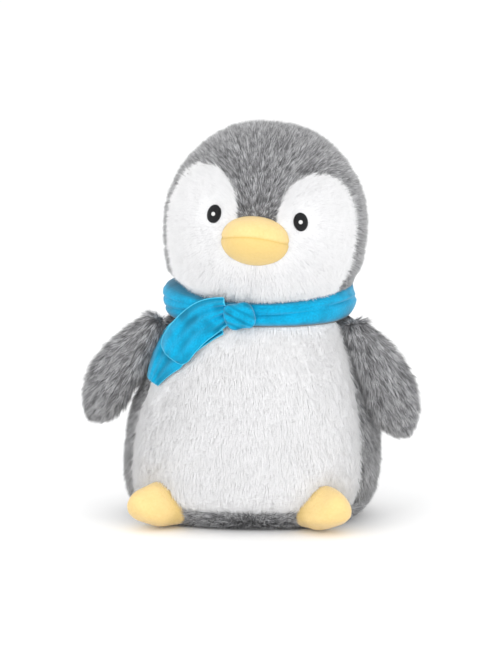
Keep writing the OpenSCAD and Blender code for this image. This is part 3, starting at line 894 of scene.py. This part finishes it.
def upper_cover(points, out):
    """The neck seam under the scarf band carries no pile."""
    return np.where(points[:, 2] > BODY_H - 2, 0.0, 1.0 - lower_cover(points, out))


def tail_distance(points):
    """How far a place on the front is from the middle line of the nearest scarf tail."""
    nearest = np.full(len(points), 99.0)
    for route in (FRONT_ROUTE, REAR_ROUTE):
        a, b, c = (np.array(p, float) for p in route)
        for t in np.linspace(0, 1, 25):
            x, z = bezier(a, b, c, t)
            away = np.hypot(points[:, 0] + MIDDLE[0] - x, points[:, 2] - z)
            nearest = np.minimum(nearest, away)
    return np.where(points[:, 1] > 0, 99.0, nearest)


def belly_reach(points, out):
    """Short along the hem, and pressed down under the scarf's tails."""
    hem = mix(0.55, 1.0, smooth((points[:, 2] - HEM_Z) / 14))
    pressed = mix(0.3, 1.0, smooth((tail_distance(points) - TAIL_W / 2 + 1) / 6))
    return np.minimum(hem, pressed)


def base_flow(points, out):
    outwards = points - body_centre()
    outwards[:, 2] = -20.0
    return unit(outwards)


def hem_reach(points, out):
    return mix(0.5, 1.0, smooth(points[:, 2] / HEM_Z))


def hem_cover(points, out):
    return np.where(points[:, 2] > 1.5, 1.0, 0.0)


# ---- head ----


BEAK_MID = 203.5
BEAK_ROOT_Y = -56.4
BEAK_HALF_W, BEAK_HALF_H, BEAK_OUT = 24.0, 17.5, 21.0
MOUTH_RISE = 4.8
# Painted shade over the whole lower beak.
LOWER_BEAK_PAINTED_SHADE = 0.38
EYE_X, EYE_Z = 30.0, 219.0
EYE_HALF_W, EYE_HALF_H = 5.0, 6.5
DOT_HALF_W = 2.2
EYE_OUT_TURN, EYE_UP_TILT, EYE_ROLL = 24, 9, 9


def beak_centre():
    return on_head(np.array([0.0, BEAK_ROOT_Y, BEAK_MID]))


def eye_centre(side):
    half_w = HEAD_HALF_W * head_share(EYE_Z)
    across = (1 - (EYE_X / half_w) ** SQUARENESS) ** (1 / SQUARENESS)
    return np.array([side * EYE_X, -HEAD_HALF_D * head_share(EYE_Z) * across, EYE_Z])


def beak_distance(points):
    """0 at the beak's root line, growing outwards in millimetres."""
    d = points - beak_centre()
    return (np.hypot(d[:, 0] / BEAK_HALF_W, d[:, 2] / BEAK_HALF_H) - 1) * 20 + 60 * (d[:, 1] > 30)


def eye_distance(points):
    nearest = np.full(len(points), 99.0)
    for side in (-1, 1):
        d = np.linalg.norm(points - on_head(eye_centre(side)), axis=1)
        nearest = np.minimum(nearest, d)
    return nearest


def head_flow(points, out):
    from_beak = unit(points - beak_centre())
    down = np.array([0.0, 0.0, -1.0])
    behind = smooth(points[:, 1] / 45)[:, None]
    way = mix(from_beak + 0.35 * down, np.tile(down, (len(points), 1)), behind)
    for side in (-1, 1):
        d = points - on_head(eye_centre(side))
        near = fading(np.linalg.norm(d, axis=1), 9)[:, None]
        way = mix(way, unit(d), 0.8 * near)
    return way + SWAY * np.cross(out, way) * noise_over(points, 30.0)[:, None]


def rim_reach(points):
    """Shorter along the head's lower edge at the sides and the nape, where it lies on the scarf."""
    local_z = points[:, 2] - HEAD_LOW
    front = smooth((-points[:, 1] - 10) / 40)
    return mix(mix(0.45, 1.0, smooth(local_z / 12)), 1.0, front)


def face_reach(points, out):
    near_beak = mix(0.45, 1.0, smooth(beak_distance(points) / 14))
    near_eye = mix(0.3, 1.0, smooth((eye_distance(points) - 5) / 12))
    return np.minimum(np.minimum(near_beak, near_eye), rim_reach(points))


def face_cover(points, out):
    shown = (beak_distance(points) > -1.5) & (eye_distance(points) > 6.2)
    return np.where(shown, 1.0, 0.0)


def head_centre():
    return on_head(np.array([0.0, 0.0, HEAD_MID]))


def head_patch(rows, edge_a, edge_b, columns):
    """Cells between two edges, each an angle for every row."""
    r = np.asarray(rows, float)[:, None]
    t = np.linspace(0, 1, columns)[None, :]
    angle = mix(edge_a(r), edge_b(r), t)
    return on_head(head_point(angle, np.broadcast_to(r, angle.shape)))


def chin_edge(row):
    """The white halves meet under the beak and part round the grey blaze above it."""
    return blaze_edge(row) * smooth((row - 3.4) / 0.6)


def crown_top(side):
    rows = np.linspace(LOBE_ROW, TOP_ROW, 26)
    angles = np.concatenate([np.linspace(0, LOBE_OUT, 15), np.linspace(LOBE_OUT, 180, 30)[1:]])
    return on_head(grid(rows, side * angles, lambda r, a: head_point(a, r)))


class PENGUIN_OT_head(bpy.types.Operator):
    """Builds the head's grey and white panels and their pile"""

    bl_idname = "penguin.head"
    bl_label = "Head"

    def execute(self, context):
        length = context.scene.penguin_pile.head_length
        low_rows = np.concatenate([np.linspace(-CHIN_ROWS, 0, 8)[:-1], np.linspace(0, LOBE_ROW, 41)])
        for side, label in ((1, "left"), (-1, "right")):
            lower = head_patch(low_rows, lambda r: side * cheek_edge(r), lambda r: side * 180.0 + 0 * r, 30)
            self.panel("crown_" + label, [lower, crown_top(side)], False, length)
            cheek = head_patch(low_rows, lambda r: side * chin_edge(r), lambda r: side * cheek_edge(r), 30)
            self.panel("cheek_" + label, [cheek], True, length)
        rows = np.linspace(3.45, LOBE_ROW, 30)
        blaze = head_patch(rows, lambda r: -chin_edge(r), chin_edge, 21)
        self.panel("forehead_panel", [blaze], False, length)
        return {"FINISHED"}

    def panel(self, node, patches, white, length):
        sheet = pad_out(sheet_mesh(node + "_fabric", patches, head_centre()), sink=0.8)
        pile(node + "_pile", "head", sheet, white, head_flow, length, face_reach, face_cover)
        plush_skin(node, "head", sheet, white)


# ---- beak ----


def beak_patch(first, last):
    """Half of the beak between two angles round it, from its root to its tip."""

    def point(row, turn):
        share = np.cos(np.radians(90 * row))
        fullness = np.maximum(0, 1 - share * share)
        turn = np.radians(turn)
        x = BEAK_HALF_W * share * np.cos(turn)
        y = BEAK_ROOT_Y - BEAK_OUT * fullness**0.62
        z = BEAK_MID + MOUTH_RISE * fullness + BEAK_HALF_H * share * signed_pow(np.sin(turn), 0.9)
        return np.stack([x, y, z], axis=-1)

    return on_head(grid(np.linspace(0, 1, 26), np.linspace(first, last, 41), point))


def nap_sheen_mottle(points, size=9.0):
    """Patches of painted shade, from 0 to 0.6, where the velour's sheen changes with its nap brushed the
    other way.
    """
    return 0.6 * smooth(noise_over(points, size) * 1.6)


class PENGUIN_OT_beak(bpy.types.Operator):
    """Builds the upper and lower beak with the mouth seam between them"""

    bl_idname = "penguin.beak"
    bl_label = "Beak"

    def execute(self, context):
        for node, first, last in (("beak_upper", 0, 180), ("beak_lower", 180, 360)):
            sheet = sheet_mesh(node + "_fabric", [beak_patch(first, last)], beak_centre())
            pad_out(sheet, sink=0.8, reach=1.3, lumps=0.5, lump_size=12.0)
            points = coordinates(sheet)
            from_root = beak_centre()[1] - points[:, 1]
            # Painted shade: the whole lower beak darker, amber towards the root where the beak meets the
            # face, and darker along the mouth seam.
            under = LOWER_BEAK_PAINTED_SHADE if node == "beak_lower" else 0.0
            seam = 0.4 * fading(seam_distance(sheet, points), 0.8)
            shade_crease(sheet, under + 0.6 * fading(from_root, 4) + seam)
            yellow_skin(node, "head", sheet)
        return {"FINISHED"}


# ---- eyes ----


def on_face(side, points):
    """From a flat drawing, x across and y up, z out of the face, to the eye's place."""
    p = turned(points, "Z", math.radians(side * EYE_ROLL))
    p = turned(p, "X", math.radians(90 - EYE_UP_TILT))
    p = turned(p, "Z", math.radians(side * EYE_OUT_TURN))
    return on_head(p + eye_centre(side))


BUTTON_RIM = 0.85


def button_patch(half_w, half_h, low, proud, side, shift=0.0):
    """A domed oval of stitches whose edge goes down into the pile."""

    def point(r, a):
        a = np.radians(a)
        rim = np.minimum(r / BUTTON_RIM, 1.0)
        fall = mix(proud * 0.45, low, (r - BUTTON_RIM) / (1 - BUTTON_RIM))
        height = np.where(r < BUTTON_RIM, proud * (1 - 0.55 * rim**3), fall)
        return np.stack([half_w * rim * np.cos(a) + shift, half_h * rim * np.sin(a), height], axis=-1)

    return on_face(side, grid(np.linspace(0, 1, 12), np.linspace(0, 360, 49), point))


class PENGUIN_OT_eyes(bpy.types.Operator):
    """Builds the stitched eyes and the white dot on each"""

    bl_idname = "penguin.eyes"
    bl_label = "Eyes"

    def execute(self, context):
        c = palette()
        for side, label in ((1, "left"), (-1, "right")):
            eye = button_patch(EYE_HALF_W, EYE_HALF_H, -1.2, 3.2, side)
            black = thread_material("Black thread", c.thread, 0.3)
            self.stitched("eye_" + label, eye, side, black, "thread_black")
            dot = button_patch(DOT_HALF_W, DOT_HALF_W, 2.2, 3.7, side, -side * 0.9)
            white = thread_material("White thread", c.shine, 0.5)
            self.stitched("eye_shine_" + label, dot, side, white, "thread_white")
        return {"FINISHED"}

    def stitched(self, node, patch, side, material, slot):
        """A button with its back closed by one face."""
        mesh = sheet_mesh(node + "_stitches", [patch], on_face(side, np.array([0.0, 0.0, -3.0])))
        stands_for(link(mesh.name, solid(mesh, fill=True), material), node, "head")


# ---- wings ----


WING_LEN, WING_W, WING_T = 82.0, 31.5, 15.0
WING_HANG = {1: 17.0, -1: 25.0}
WING_TWIST = 7
WING_CAP = 0.1
WING_NAMES = {1: "wing_left", -1: "wing_right"}


def at_shoulder(side, points):
    p = turned(points, "Z", math.radians(WING_TWIST))
    p = turned(p, "Y", math.radians(-WING_HANG[side]))
    return p * [side, 1, 1] + joint_mm(WING_NAMES[side] + "_raise")


def wing_patch(side, first, last):
    def point(row, turn):
        s = np.sin(np.radians(90 * np.maximum(row, 0)))
        inwards = np.clip(-row / WING_CAP, 0, 1)
        half_w = WING_W / 2 * (0.5 + 0.5 * np.sin(np.radians(np.minimum(90, 150 * s))))
        half_w = half_w * np.sqrt(np.maximum(0, 1 - s**6))
        half_t = WING_T / 2 * (0.65 + 0.35 * np.sin(np.radians(180 * s))) * np.sqrt(np.maximum(0, 1 - s**5))
        middle = 1 + WING_W * mix(0.23, 0.56, np.sin(np.radians(np.minimum(90, 130 * s))))
        x, y = oval(half_w * np.sqrt(1 - inwards**2), half_t * np.sqrt(1 - inwards**2), -360 * turn, 2)
        return np.stack([x + middle, y, 4 * inwards - WING_LEN * s], axis=-1)

    rows = np.concatenate([np.linspace(-WING_CAP, 0, 7)[:-1], np.linspace(0, 1, 34)])
    return at_shoulder(side, grid(rows, np.linspace(first, last, 25), point))


class PENGUIN_OT_wings(bpy.types.Operator):
    """Builds both wings, each from an outer and an inner panel"""

    bl_idname = "penguin.wings"
    bl_label = "Wings"

    def execute(self, context):
        length = context.scene.penguin_pile.length
        for side, wing in WING_NAMES.items():
            root = at_shoulder(side, np.array([0.0, 0.0, 0.0]))
            tip = at_shoulder(side, np.array([0.58 * WING_W, 0.0, -WING_LEN]))
            along = unit(tip - root)

            def flow(points, out):
                return np.tile(along, (len(points), 1))

            def reach(points, out):
                reached = (points - root) @ along
                return mix(0.75, 0.95, smooth(reached / 25)) * mix(1.0, 0.6, smooth((reached - 60) / 22))

            for half, first, last in (("outer", 10 / 14, 17 / 14), ("inner", 3 / 14, 10 / 14)):
                node = wing + "_" + half
                sheet = sheet_mesh(node + "_fabric", [wing_patch(side, first, last)], mix(root, tip, 0.5))
                pad_out(sheet, sink=0.6, lumps=0.5)
                pile(node + "_pile", wing, sheet, False, flow, 1.3 * length, reach, lift=0.42)
                plush_skin(node, wing, sheet, False, 1.5)
        return {"FINISHED"}


# ---- feet ----


FOOT_LEN, FOOT_W, FOOT_H, FOOT_ANGLE = 27.0, 38.0, 30.0, 39.0
FOOT_NAMES = {1: "foot_left", -1: "foot_right"}
FOOT_GAP = 2.0
FOOT_BLUNTNESS, FOOT_TAPER = 0.62, 0.28


def foot_way(side):
    a = math.radians(FOOT_ANGLE)
    return np.array([side * math.sin(a), -math.cos(a), 0.0])


def foot_patch(side, first, last):
    def point(row, turn):
        share = np.maximum(0, np.cos(np.radians(90 * row))) ** FOOT_BLUNTNESS
        turn = np.radians(turn)
        across = FOOT_W / 2 * share * np.cos(turn) * (1 - FOOT_TAPER * np.sin(turn))
        z = 1 + FOOT_H / 2 + FOOT_H / 2 * share * np.sin(turn)
        angle = side * FOOT_ANGLE + np.degrees(across / BODY_HALF_W)
        out = FOOT_LEN * np.sin(np.radians(90 * row))
        z = z + 2.5 * (1 - np.sin(np.radians(90 * row))) * np.maximum(0, np.sin(turn)) ** 2
        return body_point(angle, z, FOOT_GAP) + out[..., None] * foot_way(side)

    return placed(grid(np.linspace(0, 1, 30), np.linspace(first, last, 41), point))


class PENGUIN_OT_feet(bpy.types.Operator):
    """Builds both feet, each from an upper and a sole"""

    bl_idname = "penguin.feet"
    bl_label = "Feet"

    def execute(self, context):
        for side, foot in FOOT_NAMES.items():
            root = placed(body_point(side * FOOT_ANGLE, 1 + FOOT_H / 2, FOOT_GAP))
            for half, first, last in (("upper", 0, 180), ("sole", 180, 360)):
                node = foot + "_" + half
                middle = root + 0.4 * FOOT_LEN * foot_way(side)
                sheet = sheet_mesh(node + "_fabric", [foot_patch(side, first, last)], middle)
                pad_out(sheet, sink=0.1, reach=1.6, lumps=1.3, lump_size=13.0)
                points = coordinates(sheet)
                seam = seam_distance(sheet, points)
                out = (points - root) @ foot_way(side)
                # Painted shade: amber where the foot meets the body, and a faint darker line along its seam.
                shade_crease(sheet, 0.4 * fading(out, 5) + 0.02 * fading(seam, 1.2))
                yellow_skin(node, foot, sheet)
        return {"FINISHED"}


# ---- scarf ----


SCARF_OUT = 2.0
SCARF_H = 17.0
TAIL_W = 25.0
TAIL_FACE, TAIL_BACK = 2.2, 0.7
HEM_R = 0.6
KNOT_HALF_W = 10.5
FRONT_ROUTE = [[-9, BODY_H + 12], [-33, BODY_H + 6], [-50, BODY_H - 23]]
REAR_ROUTE = [[-14, BODY_H + 4], [-46, BODY_H - 3], [-64, BODY_H - 42]]


def front_point(x, z, out):
    """A place on the front of body and scarf band, a distance out from the cloth."""
    low = np.minimum(z, BODY_H)
    half_w, half_d = body_half(low)
    half_w = np.maximum(half_w, NECK_HALF_W + SCARF_OUT) + out
    half_d = np.maximum(half_d, NECK_HALF_D + SCARF_OUT) + out
    share = np.minimum(0.94, np.abs(x - body_lean(low)) / half_w)
    y = -half_d * (1 - share**SQUARENESS) ** (1 / SQUARENESS)
    return np.stack(np.broadcast_arrays(x, y, z), axis=-1)


def bezier(a, b, c, t):
    return a * (1 - t) ** 2 + 2 * b * t * (1 - t) + c * t**2


def tail_patch(route, out, pointed, rows=60, columns=25):
    """A tail's face: across it by columns, along it by rows, with soft lengthwise folds from the knot."""
    a, b, c = (np.array(p, float) for p in route)
    s = np.linspace(0, 1, rows)
    centre = bezier(a, b, c, s[:, None])
    ahead = unit(bezier(a, b, c, s[:, None] + 0.01) - centre)
    right = np.stack([ahead[:, 1], -ahead[:, 0]], axis=-1)
    half = TAIL_W / 2 * mix(0.72, 1, np.sin(np.radians(np.minimum(90, 220 * s))))
    if pointed:
        half = half * mix(1.0, 0.4, np.clip((s - 0.72) / 0.28, 0, 1))
    else:
        half = half * mix(0.5, 1.0, np.sqrt(np.maximum(0.0, 1 - np.clip((s - 0.84) / 0.16, 0, 1) ** 2.2)))
    t = np.linspace(-1, 1, columns)
    p = centre[:, None, :] + half[:, None, None] * t[None, :, None] * right[:, None, :]
    fold = 1.9 * np.sin(3.4 * math.pi * t[None, :] + 1.2) * np.exp(-2.2 * s[:, None])
    fold = fold + 0.9 * np.sin(7 * s[:, None] + 2.5 * t[None, :]) - 0.5 * t[None, :] ** 4
    return placed(front_point(p[..., 0], p[..., 1], out + fold))


def ring_of(patch):
    """The closed line round a grid's edge."""
    return np.concatenate([patch[0, :-1], patch[:-1, -1], patch[-1, :0:-1], patch[:0:-1, 0]])


def tube_mesh(name, ring, radius, sides=8):
    """A closed tube along a closed line."""
    ahead = unit(np.roll(ring, -1, axis=0) - np.roll(ring, 1, axis=0))
    out = unit(np.cross(ahead, np.cross([0.0, -1.0, 0.0], ahead)))
    turns = np.linspace(0, 2 * math.pi, sides + 1)[:, None, None]
    patch = ring + radius * (np.cos(turns) * out + np.sin(turns) * np.cross(ahead, out))
    patch = np.concatenate([patch, patch[:, :1]], axis=1)
    return solid(sheet_mesh(name, [patch], ring.mean(axis=0)))


def band_patch(out, rows=22, columns=180):
    """The band round the neck: two soft rolls, tighter under the chin, with slanting creases."""
    t = np.linspace(0, 1, rows)[:, None]
    a = np.linspace(0, 360, columns)[None, :]
    front = 0.5 + 0.5 * np.cos(np.radians(a))
    low = BODY_H + 0.6
    high = mix(BODY_H + SCARF_H + 10.5, BODY_H + SCARF_H + 1.5, front**4)
    z = mix(low, high, t) + 0 * a
    fold_line = 0.62 + 0.16 * np.sin(np.radians(a * 1.5 + 30))
    roll = 2.4 * np.sin(math.pi * np.clip(t, 0, 1)) ** 0.5 + 1.1 * smooth((fold_line - t) / 0.05)
    from_knot = np.abs((a + 180) % 360 - 180)
    gather = np.exp(-from_knot / 38)
    crease = 0.5 * np.sin(np.radians(7 * a) + 7 * t) * np.sin(math.pi * t)
    crease = crease + 1.5 * gather * np.sin(3.1 * math.pi * t + from_knot / 26) * np.sin(math.pi * t)
    for middle, swing, turn, start in ((0.34, 0.16, 1.1, 20), (0.68, 0.14, 1.7, 150)):
        line = middle + swing * np.sin(np.radians(turn * a + start))
        crease = crease - 1.5 * np.exp(-(((t - line) / 0.045) ** 2))
    tuck = -3.0 * np.abs(2 * t - 1) ** 4 - 9.0 * smooth((t - 0.8) / 0.2)
    total = out + roll + crease + tuck
    half_w, half_d = NECK_HALF_W + total, NECK_HALF_D + total
    x, y = oval(half_w, half_d, a + 0 * t)
    return placed(np.stack(np.broadcast_arrays(x + BODY_LEAN, y, z), axis=-1))


class PENGUIN_OT_scarf(bpy.types.Operator):
    """Builds the scarf: band round the neck, knot and two tails with rolled edges"""

    bl_idname = "penguin.scarf"
    bl_label = "Scarf"

    def execute(self, context):
        c = palette()
        cloth = scarf_cloth()
        edge = cloth_material("Scarf edge", c.scarf_edge, c.scarf, fine=1500.0, amount=0.5, sheen=0.0)
        centre = placed(np.array([BODY_LEAN, 0.0, BODY_H + 12]))
        knot = self.knot(cloth)
        face, back = band_patch(SCARF_OUT), band_patch(SCARF_OUT - 2.4)
        edges = [np.stack([face[k], back[k]]) for k in (0, -1)]
        mesh = solid(sheet_mesh("scarf_band_cloth", [face, back, *edges], centre))
        shade_crease(mesh, self.valleys(coordinates(mesh)))
        band = link("scarf_band_cloth", mesh, cloth)
        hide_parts("scarf_band")
        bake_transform(band)

        for end_name, route, out in (("front", FRONT_ROUTE, 5.2), ("rear", REAR_ROUTE, 2.4)):
            self.tail("scarf_tail_" + end_name, "scarf_end_" + end_name, route, out, cloth, edge)
        return {"FINISHED"}

    def valleys(self, points):
        """Deeper shade where the band's face lies low between its folds."""
        p = points + MIDDLE - [BODY_LEAN, 0.0, 0.0]
        ratio = np.abs(p[:, 0] / NECK_HALF_W) ** SQUARENESS + np.abs(p[:, 1] / NECK_HALF_D) ** SQUARENESS
        out = (ratio ** (1 / SQUARENESS) - 1) * (NECK_HALF_W + NECK_HALF_D) / 2
        return 0.75 * smooth((SCARF_OUT + 2.2 - out) / 2.4) + 0.6 * nap_sheen_mottle(points)

    def knot(self, cloth):
        """One turn of the scarf wrapped over itself, pinched where it goes behind."""

        def point(row, turn):
            lat = math.pi * (row - 0.5)
            a = 2 * math.pi * turn
            x = KNOT_HALF_W * signed_pow(np.cos(lat), 0.7) * signed_pow(np.cos(a), 0.85)
            z = 10.0 * signed_pow(np.sin(lat), 0.8)
            depth = 6.5 * signed_pow(np.cos(lat), 0.75) * signed_pow(np.sin(a), 0.8)
            ridge = 1.3 * np.sin(z + 0.5 * x) * np.cos(lat) * (0.4 + 0.6 * np.abs(x) / KNOT_HALF_W)
            pinch = 1 - 0.16 * np.exp(-((x / 5) ** 2))
            return np.stack([x - 0.3 * z, -depth - ridge * np.sin(a), (z + 0.2 * x) * pinch], axis=-1)

        local = grid(np.linspace(0, 1, 34), np.linspace(0, 1, 61), point)
        home = placed(np.array([0.0, -(NECK_HALF_D + SCARF_OUT + 5.0), BODY_H + SCARF_H / 2]))
        mesh = sheet_mesh("scarf_knot_cloth", [local + home], home)
        p = coordinates(mesh) - home
        # Painted shade in the hollows between the knot's ridges, with darker nap patches.
        shade_crease(mesh, nap_sheen_mottle(p, 6.0) + 0.6 * smooth(-np.sin(p[:, 2] + 0.5 * p[:, 0])))
        obj = link("scarf_knot_cloth", mesh, cloth)
        stands_for(obj, "scarf_knot", "body")
        return obj

    def tail(self, node, body, route, out, cloth, edge):
        """A cloth of real thickness from its face and its back, with a rolled hem along its edge."""
        face, back = (tail_patch(route, out + side, route is REAR_ROUTE) for side in (TAIL_FACE, TAIL_BACK))
        rings = [ring_of(face), ring_of(back)]
        wall = np.stack([np.vstack([ring, ring[:1]]) for ring in rings])
        centre = face.mean(axis=(0, 1)) + [0, 6, 0]
        obj = link(node + "_cloth", solid(sheet_mesh(node + "_cloth", [face, back, wall], centre)), cloth)
        points = coordinates(obj.data)
        level = placed(front_point(points[:, 0] + MIDDLE[0], points[:, 2], out + TAIL_FACE))
        # Painted shade where the cloth lies back in its fold valleys and behind its face, with darker nap
        # patches.
        shade_crease(obj.data, 0.7 * smooth((points[:, 1] - level[:, 1]) / 2.0) + nap_sheen_mottle(points))
        hem = link(node + "_hem", tube_mesh(node + "_hem", (rings[0] + rings[1]) / 2, HEM_R), edge)
        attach(hem, body)
        stands_for(obj, node, body)


# ---- inside ----


class PENGUIN_OT_inside(bpy.types.Operator):
    """Gives the stuffing and the pellet pouch their materials"""

    bl_idname = "penguin.inside"
    bl_label = "Stuffing"

    def execute(self, context):
        c = palette()
        loose = {"fine": 250.0, "broad": 30.0, "bump": 0.8}
        stuffing = cloth_material("Stuffing", c.stuffing, darker(c.stuffing, 0.75), **loose)
        pouch = cloth_material("Pouch cloth", (0.62, 0.56, 0.44), (0.45, 0.40, 0.30), fine=1500.0, amount=0.5)
        for name, obj in frame["nodes"].items():
            if name.endswith("_filling") or name == "pellet_pouch":
                obj.data.materials.clear()
                obj.data.materials.append(pouch if name == "pellet_pouch" else stuffing)
        return {"FINISHED"}


# ---- stage, in metres ----


FLOOR_R, FLOOR_SIDES = 8, 96
LIGHTS_AIM = Vector((0, 0, 0.13))
CAMERA_AIM = Vector((-0.0020, 0.0, 0.1360))


class PENGUIN_OT_stage(bpy.types.Operator):
    """Sets the pale floor, the soft lights and the camera"""

    bl_idname = "penguin.stage"
    bl_label = "Stage"

    def execute(self, context):
        stage = context.scene.penguin_stage
        self.floor()
        self.area("key_light", (-0.8, -1.6, 0.75), 1.1, stage.key_light)
        self.area("fill_light", (1.3, -1.6, 0.3), 1.4, stage.fill_light)
        self.area("top_light", (0.1, 0.3, 1.8), 1.2, 0.25 * stage.key_light)
        world = bpy.data.worlds.new("Studio")
        world.use_nodes = True
        sky = world.node_tree.nodes["Background"]
        sky.inputs["Color"].default_value = (1.0, 1.0, 1.0, 1.0)
        sky.inputs["Strength"].default_value = 1.1
        context.scene.world = world
        context.scene.view_settings.view_transform = "Standard"
        self.camera(context, stage)
        return {"FINISHED"}

    def floor(self):
        """A wide round floor of pale paper."""
        mesh = bpy.data.meshes.new("floor")
        turns = np.linspace(0, 2 * math.pi, FLOOR_SIDES, endpoint=False)
        rim = [(FLOOR_R * math.cos(a), FLOOR_R * math.sin(a), 0.0) for a in turns]
        mesh.from_pydata(rim, [], [tuple(range(FLOOR_SIDES))])
        paper = {"fine": 300.0, "broad": 4.0, "bump": 0.03, "sheen": 0.0}
        white = cloth_material("Floor paper", (0.95,) * 3, (0.93,) * 3, **paper)
        link("floor", mesh, white)

    def area(self, name, place, size, power):
        light = bpy.data.lights.new(name, "AREA")
        light.shape = "DISK"
        light.size = size
        light.energy = power
        obj = bpy.data.objects.new(name, light)
        obj.location = place
        obj.rotation_euler = (LIGHTS_AIM - Vector(place)).to_track_quat("-Z", "Y").to_euler()
        bpy.context.scene.collection.objects.link(obj)

    def camera(self, context, stage):
        data = bpy.data.cameras.new("camera")
        data.lens = stage.lens
        data.sensor_fit = "VERTICAL"
        data.sensor_height = 36.0
        camera = bpy.data.objects.new("camera", data)
        turn, tilt = Matrix.Rotation(stage.azimuth, 3, "Z"), Matrix.Rotation(-stage.elevation, 3, "X")
        away = turn @ tilt @ Vector((0, -1, 0))
        camera.location = CAMERA_AIM + away * stage.distance
        camera.rotation_euler = (-away).to_track_quat("-Z", "Y").to_euler()
        context.scene.collection.objects.link(camera)
        context.scene.camera = camera


# ---- sidebar ----


OPERATORS = (
    PENGUIN_OT_body,
    PENGUIN_OT_head,
    PENGUIN_OT_beak,
    PENGUIN_OT_eyes,
    PENGUIN_OT_wings,
    PENGUIN_OT_feet,
    PENGUIN_OT_scarf,
    PENGUIN_OT_inside,
    PENGUIN_OT_stage,
)
GROUPS = {
    "penguin_pile": PENGUIN_PG_pile,
    "penguin_colours": PENGUIN_PG_colours,
    "penguin_stage": PENGUIN_PG_stage,
}


class PENGUIN_PT_panel(bpy.types.Panel):
    """Lists the penguin's sizes, colours and build steps"""

    bl_label = "Plush Penguin"
    bl_idname = "PENGUIN_PT_panel"
    bl_space_type = "VIEW_3D"
    bl_region_type = "UI"
    bl_category = "Plush Penguin"

    def draw(self, context):
        for name, group in GROUPS.items():
            column = self.layout.column()
            for field in group.__annotations__:
                column.prop(getattr(context.scene, name), field)
        for operator in OPERATORS:
            self.layout.operator(operator.bl_idname)


def register():
    for cls in (*GROUPS.values(), *OPERATORS, PENGUIN_PT_panel):
        bpy.utils.register_class(cls)
    for name, group in GROUPS.items():
        setattr(bpy.types.Scene, name, PointerProperty(type=group))


def unregister():
    for name in GROUPS:
        delattr(bpy.types.Scene, name)
    for cls in reversed((*GROUPS.values(), *OPERATORS, PENGUIN_PT_panel)):
        bpy.utils.unregister_class(cls)


def main():
    register()
    for operator in OPERATORS:
        area, name = operator.bl_idname.split(".")
        getattr(getattr(bpy.ops, area), name)()


if __name__ == "__main__":
    main()
